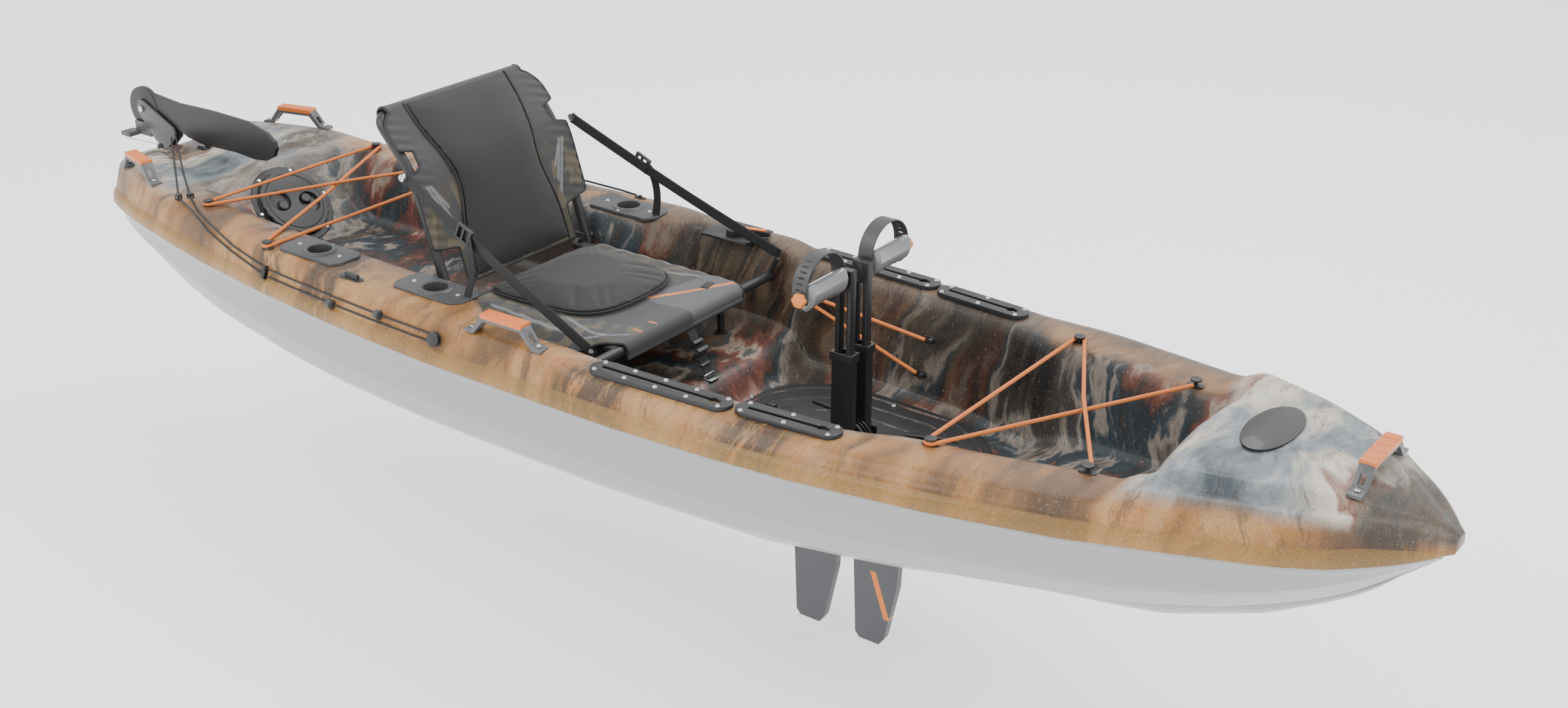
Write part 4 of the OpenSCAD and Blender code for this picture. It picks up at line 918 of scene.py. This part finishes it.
def back_sheet(v, y, lift):
    """A grid of points on the back: v is a column, y and lift are tables."""
    wide_v = np.broadcast_to(v, y.shape)
    return on_back(wide_v.ravel(), y.ravel(), lift.ravel()).reshape(*y.shape, 3)


back_grid = back_sheet(cloth_v, cloth_y, pucker - sag)


def cloth(name, ground, patch_size):
    """Coated polyester: a plain weave of 1.4 mm, camouflage in soft blocks of olive and brown
    towards the sides, pale chevron lines and pale lint flecks. It reads two painted values, camouflage
    and chevron, that each mesh carries."""
    finish = Finish(name, Sheen_Weight=0.25, Sheen_Roughness=0.5)
    x, y, z = finish.axes()
    weave = ((x + z) * 4400.0).sine() * (y * 4400.0).sine()
    blocks_one = finish.noise(patch_size, 1.0, (1.3, 0.8, 1.3), None, 0.2).ease(0.50, 0.515)
    blocks_two = finish.noise(patch_size * 1.7, 1.0, (1.0, 1.0, 0.7), None, 0.2).ease(0.53, 0.545)
    camouflage, chevron = finish.stored("camouflage"), finish.stored("chevron")
    lint = finish.noise(300.0, 4.0)
    colour = finish.mix(blocks_one * camouflage, ground, (0.050, 0.043, 0.026))
    colour = finish.mix(blocks_two * camouflage * 0.9, colour, (0.095, 0.076, 0.044))
    colour = finish.mix(chevron, colour, (0.17, 0.175, 0.18))
    colour = finish.mix(lint.ease(0.6, 0.8) * 0.25, colour, (0.16, 0.16, 0.16))
    finish.set(
        Base_Color=colour, Roughness=0.66 + 0.14 * lint,
        Normal=finish.bump(weave, 0.0003, 0.35, finish.bump(lint, 0.0006, 0.3)))
    return finish


def painted(mesh, **values):
    """Stores one number per point under each name."""
    for name, value in values.items():
        mesh.attributes.new(name, "FLOAT", "POINT").data.foreach_set("value", np.asarray(value, float).ravel())


def line_mask(offset, along, start, end):
    """1 on a pale line 7 mm wide between two places along it, with soft edges."""
    return step(abs(offset), 0.0052, 0.0020) * step(along, start, start + 0.005) * step(along, end, end - 0.005)


def chevrons(v, y):
    """Slanting lines on the wings; each starts at v = foot and leaves the panel at its slope."""
    distance = y - 0.160
    slants = (0.11, 0.40, 0.235), (0.135, 0.40, 0.235), (0.235, -0.55, 0.262), (0.168, 0.62, 0.23)
    lines = [line_mask(distance - (v - foot) * slope, v, foot + 0.004, end) for foot, slope, end in slants]
    return np.max(lines, axis=0) * (distance > 0.002) * (y < 0.228)


charcoal = cloth("seat_fabric", (0.030, 0.031, 0.033), 16.0)
cloth_wall = 0.003
back_mesh = skin("back_cloth", back_grid)
wide_v = np.broadcast_to(cloth_v, cloth_y.shape)
painted(back_mesh, camouflage=step(wide_v, 0.25, 0.19), chevron=chevrons(wide_v, abs(cloth_y)))
back_cloth = fitted("back_cloth", back_mesh, charcoal, "backrest", slot_of_node["back_sling"], "back_sling")
walled(back_cloth, cloth_wall, 0.0)
float(back_v[-1] - 0.014)


def seam(name, path, radius, body, slot, finish):
    """A piped seam or bound edge along a path."""
    fitted(name, tube(name, path, radius, 8), finish, body, slot)


binding = braided("binding", (0.014, 0.014, 0.015), (0.05, 0.05, 0.052), 2600.0)
rim_v = cloth_v[:, 0]
edge = back_breadth(np.minimum(rim_v, 0.407))
for s, name in ((-1, "stbd"), (1, "port")):
    seam("back_edge_" + name, on_back(rim_v, s * edge, 0.0), 0.0030, "backrest", "webbing", binding)
    piping_v = np.linspace(0.016, 0.418, 90)
    piping = on_back(piping_v, s * panel_breadth(piping_v), 0.003)
    seam("back_piping_" + name, piping, 0.0022, "backrest", "pad_fabric", binding)
hem_y = np.linspace(-1, 1, 60)
for name, hem_v, half in (("back_hem_low", 0.012, edge[0]), ("back_hem_high", back_v[-1] - 0.002, edge[-1])):
    seam(name, on_back(np.full(60, hem_v), hem_y * half, 0.0), 0.0030, "backrest", "webbing", binding)


def stuffed(piece, voxel, seed_pin, limit, pressure=4.0):
    """Swells a cushion with air: voxel remesh, twenty frames of pressed cloth whose base is
    pinned, each point's travel capped, then one subdivision."""
    remesh = piece.modifiers.new("remesh", "REMESH")
    remesh.mode, remesh.voxel_size, remesh.use_smooth_shade = "VOXEL", voxel, True
    baked(piece)
    count = len(piece.data.vertices)
    rest = np.zeros(count * 3)
    piece.data.vertices.foreach_get("co", rest)
    rest = rest.reshape(-1, 3)
    held = piece.vertex_groups.new(name="held")
    held.add(np.flatnonzero(seed_pin(rest)).tolist(), 1.0, "REPLACE")
    air = piece.modifiers.new("air", "CLOTH")
    air.settings.use_pressure = True
    air.settings.uniform_pressure_force = pressure
    air.settings.effector_weights.gravity = 0.0
    air.settings.vertex_group_mass = "held"
    air.settings.quality = 4
    air.point_cache.frame_start, air.point_cache.frame_end = 1, 20
    for number in range(1, 21):
        bpy.context.scene.frame_set(number)
    graph = bpy.context.evaluated_depsgraph_get()
    swollen = piece.evaluated_get(graph).to_mesh()
    moved = np.zeros(count * 3)
    swollen.vertices.foreach_get("co", moved)
    moved = moved.reshape(-1, 3) - rest
    travel = np.linalg.norm(moved, axis=1, keepdims=True)
    rest += moved * np.minimum(1, limit / np.maximum(travel, 1e-9))
    piece.evaluated_get(graph).to_mesh_clear()
    piece.modifiers.clear()
    piece.vertex_groups.clear()
    piece.data.vertices.foreach_set("co", rest.ravel())
    piece.data.update()
    bpy.context.scene.frame_set(1)
    smoothing = piece.modifiers.new("smooth", "SUBSURF")
    smoothing.levels = smoothing.render_levels = 1
    baked(piece)


def panel_cloth(name, ground):
    """The smooth stretch cloth of the centre panels: a fine twill with slight pressed creases."""
    finish = Finish(name, Sheen_Weight=0.2, Sheen_Roughness=0.45)
    x, y, z = finish.axes()
    twill = ((y + (x + z) * 0.7) * 5200.0).sine()
    creases = finish.noise(24.0, 4.0, (1.0, 0.35, 1.0))
    lint = finish.noise(420.0, 3.0)
    finish.set(
        Base_Color=finish.mix(lint * 0.5 + creases * 0.3, ground, tuple(c * 1.9 for c in ground)),
        Roughness=0.60 + 0.16 * lint,
        Normal=finish.bump(twill, 0.0002, 0.4, finish.bump(creases, 0.0035, 0.3)))
    return finish


centre_cloth = panel_cloth("pad_fabric", (0.009, 0.009, 0.0095))
pad_v = np.linspace(0.018, 0.416, 128)[:, None]
pad_t = np.linspace(-1, 1, 81)[None]
pad_y = pad_t * (panel_breadth(pad_v) - 0.0035)
crown = (1 - abs(pad_t) ** 5) * step(pad_v, 0.012, 0.050) * step(pad_v, 0.425, 0.385)
front = back_sheet(pad_v, pad_y, 0.0045 + 0.011 * crown)
rear = back_sheet(pad_v, pad_y, 0.0015 - 0.004 * crown)


def rim_of(grid):
    """The points round the edge of a grid, in order."""
    return np.concatenate([grid[0], grid[1:, -1], grid[-1, -2::-1], grid[-2:0:-1, 0]])


rims = skin("rims", np.array([rim_of(front), rim_of(rear)]), loop_columns=True)
shell = joined("back_cushion", [skin("front", front), skin("rear", rear, flip=True), rims], 1e-6)
back_cushion = fitted("back_cushion", shell, centre_cloth, "backrest", slot_of_node["back_pad"], "back_pad")


def behind_the_panel(points):
    """True at the back and the rim of the cushion, which are sewn to the cloth."""
    height = (points[:, 2] - hinge[1]) - 0.4 * (points[:, 0] - hinge[0])
    v = np.interp(height, (back_path[:, 1] - hinge[1]) - 0.4 * (back_path[:, 0] - hinge[0]), back_v)
    surface = on_back(v, points[:, 1], 0.0)
    normal = np.stack([np.interp(v, back_v, back_normal[:, i]) for i in (0, 1)], 1)
    lift = (points[:, 0] - surface[:, 0]) * normal[:, 0] + (points[:, 2] - surface[:, 2]) * normal[:, 1]
    return lift < 0.006


stuffed(back_cushion, 0.0045, behind_the_panel, 0.007)

# The base: cloth stretched over the two side tubes and rolled over the front crossbar, with a
# stuffed seat panel that is round at its front, and wings that droop outside the tubes.
base_x = np.linspace(-0.405, 0.0, 110)
roll = np.linspace(np.pi / 2, -0.50, 18)[1:]
bar_x, bar_z, bar_r = -0.010, 0.285, 0.0150
run_x = np.concatenate([base_x[base_x < bar_x], bar_x + bar_r * np.cos(roll), [0.0045, 0.0055]])
run_z = np.concatenate([np.full((base_x < bar_x).sum(), bar_z + bar_r), bar_z + bar_r * np.sin(roll),
                        [0.2740, 0.2690]])
base_t = np.linspace(-1, 1, 121)[None]
side_of_base = 0.228 + 0.010 * step(run_x, -0.40, -0.15) - 0.044 * step(run_x, -0.11, -0.004)
side_of_base = (side_of_base - 0.004 * step(run_x, -0.012, 0.0))[:, None]
base_y = base_t * side_of_base
outside = np.maximum(0, abs(base_y) - 0.188)
dip = 0.005 * np.cos(base_t * np.pi / 2) * (step(run_x, -0.40, -0.34) * step(run_x, -0.02, -0.08))[:, None]
flat_run = (run_x < bar_x)[:, None]
ripple = 0.0011 * np.sin(run_x[:, None] * 120 + 5 * base_t) * step(abs(base_y), 0.15, 0.21) * flat_run
base_z = run_z[:, None] - dip + ripple - (outside ** 2) * 9.0 * (flat_run + 0.2)
base_grid = np.stack([run_x[:, None] + 0 * base_y, base_y, base_z], 2)
base_mesh = skin("seat_cloth", base_grid, flip=True)
from_edge = side_of_base - abs(base_y)
ahead_x = run_x[:, None] + 0 * base_y
base_slants = (0.030, 0.0, -0.36, -0.10), (0.060, -0.32, -0.30, -0.06), (0.018, 0.30, -0.10, -0.02)
base_lines = [line_mask(from_edge - start - (ahead_x + 0.12) * slope, ahead_x, low, high)
              for start, slope, low, high in base_slants]
side_camouflage = step(abs(base_y) + 0.25 * np.maximum(0, ahead_x + 0.16), 0.13, 0.15) * step(ahead_x, 0.0, -0.03)
plain_corner = (base_y > 0.02) * (ahead_x > -0.125)
port_stripe = step(abs(ahead_x + 0.128 - (base_y - 0.02) * 0.62), 0.0065, 0.0052)
short_ticks = np.maximum(step(abs(base_y + 0.075), 0.0032, 0.0022), step(abs(base_y + 0.125), 0.0032, 0.0022))
painted(base_mesh, camouflage=side_camouflage * (1 - plain_corner),
        chevron=np.max(base_lines, axis=0),
        front_panel=step(base_y, 0.015, 0.020) * step(ahead_x - 0.22 * (base_y - 0.12), -0.118, -0.112),
        stripe=port_stripe * step(base_y, 0.026, 0.030) * step(base_y, 0.20, 0.19),
        ticks=short_ticks * step(ahead_x, -0.038, -0.035) * step(ahead_x, -0.012, -0.015))
base_finish = cloth("base_fabric", (0.028, 0.029, 0.031), 17.0)
under_colour = base_finish.shader.inputs["Base Color"].links[0].from_socket
panel, stripe, ticks = (base_finish.stored(name) for name in ("front_panel", "stripe", "ticks"))
panel_colour = base_finish.mix(panel, Wire(base_finish, under_colour), (0.075, 0.078, 0.083))
panel_colour = base_finish.mix(stripe, panel_colour, (0.80, 0.22, 0.03))
base_finish.set(Base_Color=base_finish.mix(ticks, panel_colour, (0.80, 0.22, 0.03)))
seat_cloth = fitted("seat_cloth", base_mesh, base_finish, "boat", slot_of_node["seat_sling"], "seat_sling")
walled(seat_cloth, cloth_wall, 0.0)
for s, name in ((0, "stbd"), (-1, "port")):
    seam("seat_edge_" + name, base_grid[:, s], 0.0030, "boat", "webbing", binding)
seam("seat_hem_aft", base_grid[0], 0.0030, "boat", "webbing", binding)
seam("seat_hem_fore", base_grid[-1], 0.0030, "boat", "webbing", binding)

pad_angle = np.linspace(0, 2 * np.pi, 241)[:-1]


def seat_pad_outline(t):
    """A plan that is square at the back and round at the front: a superellipse of power 9
    behind the middle and 3.2 ahead of it, a little wider at the back."""
    c, s = np.cos(t), np.sin(t)
    power = np.where(c < 0, 9.0, 3.2)
    r = (abs(c) ** power + abs(s) ** power) ** (-1 / power)
    x = -0.262 + np.where(c < 0, 0.146, 0.142) * r * c
    return x, (0.156 - 0.040 * (x + 0.262)) * r * s


pad_x, pad_w = seat_pad_outline(pad_angle)
share, height = np.array([
    (0.02, 0.3046), (0.50, 0.3046), (0.975, 0.3050), (1.0, 0.3085), (0.985, 0.3135), (0.94, 0.3185),
    (0.85, 0.3215), (0.60, 0.3235), (0.30, 0.3240), (0.02, 0.3242)]).T[..., None]
pad_grid = np.stack([-0.262 + (pad_x + 0.262) * share, pad_w * share, height + 0 * pad_x], 2)
seat_cushion = fitted("seat_cushion", closed("seat_cushion", pad_grid), centre_cloth,
                      "boat", slot_of_node["seat_pad"], "seat_pad")
stuffed(seat_cushion, 0.0045, lambda points: points[:, 2] < 0.3100, 0.008)
pipe_path = np.stack([-0.262 + (pad_x + 0.262) * 1.008, pad_w * 1.008, np.full(240, 0.3062)], 1)
pipe_mesh = closed("seat_piping", swept(pipe_path, 0.0024, 8, loop=True), loop_rows=True)
fitted("seat_piping", pipe_mesh, binding, "boat", "pad_fabric")
fitted("seat_label", blocks("seat_label", [((-0.060, 0.150, 0.3010), (0.018, 0.034, 0.0022), 0, 0, 14)], 0.0008),
       panel_cloth("label_cloth", (0.012, 0.012, 0.012)), "boat", "webbing")

# Straps: flat black webbing from the bolts in the back's notches to posts on the gunwales,
# each through a ladder-lock buckle with a hanging tail, and one below the seat's front edge
# down to the floor through a side-release buckle.


def webbing_finish(name):
    """Woven polyester tape: ribs across it every 2 mm and a stitched line near each edge."""
    finish = Finish(name)
    across_tape, along_tape = finish.stored("across"), finish.stored("along")
    ribs = (along_tape * 3100.0).sine()
    stitches = (abs(abs(across_tape) - 0.74)).ease(0.05, 0.03) * (along_tape * 1400.0).sine().ease(0.1, 0.3)
    fuzz = finish.noise(500.0, 3.0)
    finish.set(
        Base_Color=finish.mix(fuzz * 0.4 + stitches * 0.3, (0.011, 0.011, 0.012), (0.045, 0.045, 0.047)),
        Roughness=0.66 + 0.2 * fuzz,
        Normal=finish.bump(ribs + stitches, 0.0004, 0.5))
    return finish


tape = webbing_finish("webbing")


def ribbon(name, path, width_way, width):
    """Flat tape along a path; width_way is the direction of its breadth at each end."""
    path = np.array(path, float)
    ways = np.linspace(np.array(width_way[0], float), np.array(width_way[1], float), len(path))
    ways /= np.linalg.norm(ways, axis=1, keepdims=True)
    offsets = np.linspace(-0.5, 0.5, 9)
    grid = path[:, None] + ways[:, None] * (offsets * width)[None, :, None]
    mesh = skin(name, grid)
    length = np.r_[0, np.cumsum(np.linalg.norm(np.diff(path, axis=0), axis=1))]
    painted(mesh, across=np.broadcast_to(offsets * 2, grid.shape[:2]),
            along=np.broadcast_to(length[:, None], grid.shape[:2]))
    return mesh


def taped(name, mesh, body, *nodes):
    """A ribbon with its thickness and its webbing."""
    piece = fitted(name, mesh, tape, body, "webbing", *nodes)
    walled(piece, 0.0018, 0.0)
    return piece


def turned_solid(name, profile, centre, axis_y, segments=72):
    """A lathed solid about an axis along Y; profile holds radius and distance along the axis."""
    turn = np.linspace(0, 2 * np.pi, segments + 1)[:-1]
    radius, along = np.array(profile).T[..., None]
    x, z = centre[0] + radius * np.cos(turn), centre[2] + radius * np.sin(turn)
    return closed(name, np.stack([x, centre[1] + axis_y * along + 0 * x, z], 2), 0.6)


bolt_profile = [(0.0085, -0.008), (0.0085, 0.0025), (0.0075, 0.0048), (0.0045, 0.0062), (0.0030, 0.0062),
                (0.0028, 0.0040), (0.0005, 0.0040)]
strap_way, tail_way = (0.38, 0, 0.92), (0.99, 0, 0.1)
for s, name in ((-1, "stbd"), (1, "port")):
    bolt = np.array([-0.528, s * 0.256, 0.558])
    post = np.array([0.012, s * 0.313, 0.337])
    run = np.linspace(0, 1, 60)[:, None]
    strap_path = bolt + (post - bolt) * run - np.array([0, 0, 0.006]) * np.sin(np.pi * run)
    strap_mesh = ribbon("back_strap_" + name, strap_path, (strap_way, strap_way), 0.024)
    strap = taped("back_strap_" + name, strap_mesh, None, *(("back_straps",) if s < 0 else ()))
    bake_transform(strap)
    buckle_at = bolt + (post - bolt) * 0.343
    slope = np.arctan2(bolt[2] - post[2], post[0] - bolt[0])
    turns = (0, np.degrees(slope), 0)
    buckle_parts = [
        (buckle_at + (dx * np.cos(slope), s * 0.0035, -dx * np.sin(slope)), size, *turns)
        for dx, size in ((-0.018, (0.006, 0.008, 0.034)), (-0.003, (0.006, 0.006, 0.034)), (0.016, (0.008, 0.009, 0.034)))]
    buckle_parts += [(buckle_at + (dz * np.sin(slope), s * 0.0035, dz * np.cos(slope)), (0.042, 0.007, 0.005), *turns)
                     for dz in (-0.0155, 0.0155)]
    buckle = fitted("strap_buckle_" + name, blocks("strap_buckle_" + name, buckle_parts, 0.0012),
                    black_plastic, None, "black_moulding")
    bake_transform(buckle)
    tail_top = buckle_at + (0.012, s * 0.006, -0.006)
    tail_path = eased([tail_top, tail_top + (0.012, s * 0.008, -0.02), tail_top + (0.020, s * 0.012, -0.07),
                       tail_top + (0.004, s * 0.020, -0.13)], 4)
    tail = taped("strap_tail_" + name, ribbon("strap_tail_" + name, tail_path, (strap_way, tail_way), 0.022), None)
    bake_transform(tail)
    bolt_mesh = turned_solid("strap_bolt_" + name, bolt_profile, bolt + (0, s * 0.006, 0), s, 24)
    fitted("strap_bolt_" + name, bolt_mesh, steel, "backrest", "steel")

floor_path = eased([(0.0135, 0, 0.2665), (0.030, 0, 0.238), (0.052, 0, 0.196), (0.060, 0, 0.181),
                    (0.068, 0, 0.1775)], 4)
taped("floor_tape", ribbon("floor_tape", floor_path, ((0, 1, 0), (0, 1, 0)), 0.025), "boat", "floor_strap")
fitted("floor_buckle", blocks("floor_buckle", [
    ((0.0385, 0, 0.2225), (0.010, 0.034, 0.030), 0, 28, 0), ((0.0290, 0, 0.2420), (0.009, 0.030, 0.018), 0, 28, 0),
    ((0.0385, 0.0165, 0.2225), (0.008, 0.006, 0.018), 0, 28, 0),
    ((0.0385, -0.0165, 0.2225), (0.008, 0.006, 0.018), 0, 28, 0),
    ((0.0505, 0, 0.2010), (0.007, 0.031, 0.007), 0, 28, 0)], 0.0015), black_plastic, "boat", "black_moulding")
fitted("floor_anchor", blocks("floor_anchor", [
    ((0.0610, 0, 0.1742), (0.034, 0.030, 0.0035)), ((0.0600, 0.0145, 0.178), (0.007, 0.004, 0.010)),
    ((0.0600, -0.0145, 0.178), (0.007, 0.004, 0.010)), ((0.0600, 0, 0.1825), (0.007, 0.032, 0.004))],
    0.0012), steel, "boat", "steel")

# ---- Pedal drive ---------------------------------------------------------------------------
# Two masts swing about a shaft over the well; each carries a telescopic bar with a curved
# pedal pad, a toe strap and an orange knob. The fins below follow them in opposite ways.
drive_black = moulded("drive_black", (0.014, 0.014, 0.015), 0.38)
softened("drive_spine", drive_black, 0.0018)
for node in ("pedal_shaft", "fin_shaft"):
    dressed(node, steel)
for side_name in ("stbd", "port"):
    softened("mast_" + side_name, drive_black, 0.0022, 3)
    softened("pedal_bar_" + side_name, drive_black, 0.0016)
shaft = np.array([drive_x, 0.0, 0.138])


half_drum = [(0.006, -0.013), (0.044, -0.013), (0.046, -0.011), (0.046, -0.008), (0.040, -0.007),
             (0.040, -0.0015), (0.046, -0.001)]
drum = half_drum + [(radius, -along) for radius, along in half_drum[::-1]]
fitted("drive_drum", turned_solid("drive_drum", drum, shaft, 1), drive_black, "boat", "black_moulding")
rib_parts = []
for s in (-1, 1):
    for rib_turn, rib_reach in ((-62, 0.036), (62, 0.036), (-25, 0.030), (25, 0.030)):
        out = rib_reach * np.sin(np.radians(rib_turn))
        rise = 0.5 * rib_reach * np.cos(np.radians(rib_turn))
        rib_parts.append((shaft + (out, s * 0.0505, rise - 0.016), (0.005, 0.004, rib_reach), 0, rib_turn, 0))
fitted("shaft_brackets", blocks("shaft_brackets", rib_parts, 0.001), drive_black, "boat", "black_moulding")

pad_grey = moulded("grey_moulding", (0.19, 0.195, 0.20), 0.24, 500.0, Coat_Weight=0.3)
strap_plastic = moulded("strap_plastic", (0.040, 0.041, 0.043), 0.42, 700.0)
knob_orange = moulded("orange_knob", (0.70, 0.20, 0.04), 0.34, 500.0)


def perforated(name, path, width, slot_from, slot_to):
    """A strap along a path with a row of slots down its middle between two places along it."""
    path = np.array(path, float)
    offsets = np.array([-0.5, -0.47, -0.36, -0.17, 0.17, 0.36, 0.47, 0.5]) * width
    mesh = skin(name, path[:, None] + np.array([1.0, 0, 0])[None, None] * offsets[None, :, None])
    columns = len(offsets) - 1
    row = np.arange(len(path) - 1)
    holes = [r * columns + 3 for r in row if slot_from < r / len(row) < slot_to and r % 6 in (2, 3)]
    without_faces(mesh, holes)
    return mesh


for s, side_name in ((-1, "stbd"), (1, "port")):
    body = body_of_node["pedal_" + side_name]
    axle = np.array([drive_x, s * 0.109, 0.496])
    profile = []
    for t in np.linspace(0, 1, 33):
        profile.append((0.0130 * (1 - (2 * t - 1) ** 2) + 0.006, 0.026 - 0.052 * t))
    for t in np.linspace(0, 1, 33):
        profile.append((-0.0130 * (1 - (2 * t - 1) ** 2) + 0.002 * np.cos(t * 6) - 0.004, -0.026 + 0.052 * t))
    profile = np.array(profile)
    tread = np.linspace(-0.059, 0.059, 119)
    lean_of_pad = np.radians(18)
    grid = []
    for y in tread:
        teeth = 0.0035 * abs(((y * 1000 / 8) % 2) - 1)
        x, z = profile[:, 0].copy(), profile[:, 1].copy()
        z = np.where(z < -0.019, z - teeth, z) + 0.006 * (y / 0.059) ** 2 * (z > 0)
        x = x + 0.004 * (y / 0.059) ** 2
        ends_in = 1 - 0.25 * step(abs(y), 0.052, 0.059)
        x, z = x * ends_in, z * ends_in
        grid.append(np.stack([x * np.cos(lean_of_pad) + z * np.sin(lean_of_pad), y + 0 * x,
                              z * np.cos(lean_of_pad) - x * np.sin(lean_of_pad)], 1))
    pad_mesh = closed("pedal_pad_" + side_name, np.array(grid) + axle, 0.7)
    fitted("pedal_pad_" + side_name, pad_mesh, pad_grey, body, slot_of_node["pedal_" + side_name], "pedal_" + side_name)
    arch = np.linspace(-0.42, np.pi + 0.30, 121)
    out = np.cos(arch) * s
    strap_path = np.stack([axle[0] - 0.006 + 0 * arch, axle[1] + 0.0635 * out,
                           axle[2] + 0.012 + 0.0585 * np.sin(arch)], 1)
    strap_mesh = perforated("toe_strap_" + side_name, strap_path, 0.032, 0.02, 0.40)
    foot_strap = fitted("toe_strap_" + side_name, strap_mesh,
                        strap_plastic, body, slot_of_node["foot_strap_" + side_name], "foot_strap_" + side_name)
    walled(foot_strap, 0.0030, 0.0)
    knob_profile = [(0.0075, -0.002), (0.0120, -0.0015), (0.0135, 0.001), (0.0135, 0.0095),
                    (0.0120, 0.0120), (0.0080, 0.0130), (0.0008, 0.0132)]
    knob_place = np.array([drive_x, s * 0.1765, 0.496])
    knob = turned_solid("lock_knob_" + side_name, knob_profile, knob_place, s)
    lobes = np.zeros(len(knob.vertices) * 3)
    knob.vertices.foreach_get("co", lobes)
    lobes = lobes.reshape(-1, 3)
    angle_of = np.arctan2(lobes[:, 2] - knob_place[2], lobes[:, 0] - knob_place[0])
    swell = 1 + 0.07 * np.cos(6 * angle_of)
    lobes[:, 0] = knob_place[0] + (lobes[:, 0] - knob_place[0]) * swell
    lobes[:, 2] = knob_place[2] + (lobes[:, 2] - knob_place[2]) * swell
    knob.vertices.foreach_set("co", lobes.ravel())
    knob_node = "lock_knobs_" + side_name
    fitted("lock_knob_" + side_name, knob, knob_orange, body_of_node[knob_node], slot_of_node[knob_node], knob_node)

# The fins: soft grey blades with round tips on raked steel masts; the front one has a plain
# orange stripe.
for node in ("fin_front", "fin_rear"):
    fin_finish = moulded(node + "_grey", (0.062, 0.064, 0.070), 0.44)
    if node == "fin_front":
        fin_x, _, fin_z = fin_finish.axes()
        leaning = fin_x + fin_z * 0.35
        low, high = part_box(node)
        middle = (low.x + high.x) / 2 + (low.z + high.z) / 2 * 0.35
        mark = abs(leaning - float(middle)).ease(0.0075, 0.0065) * abs(fin_z - float(low.z + 0.115)).ease(0.052, 0.051)
        under = fin_finish.shader.inputs["Base Color"].links[0].from_socket
        fin_finish.set(Base_Color=fin_finish.mix(mark, Wire(fin_finish, under), (0.72, 0.20, 0.03)))
    softened(node, fin_finish, 0.0045, 4)
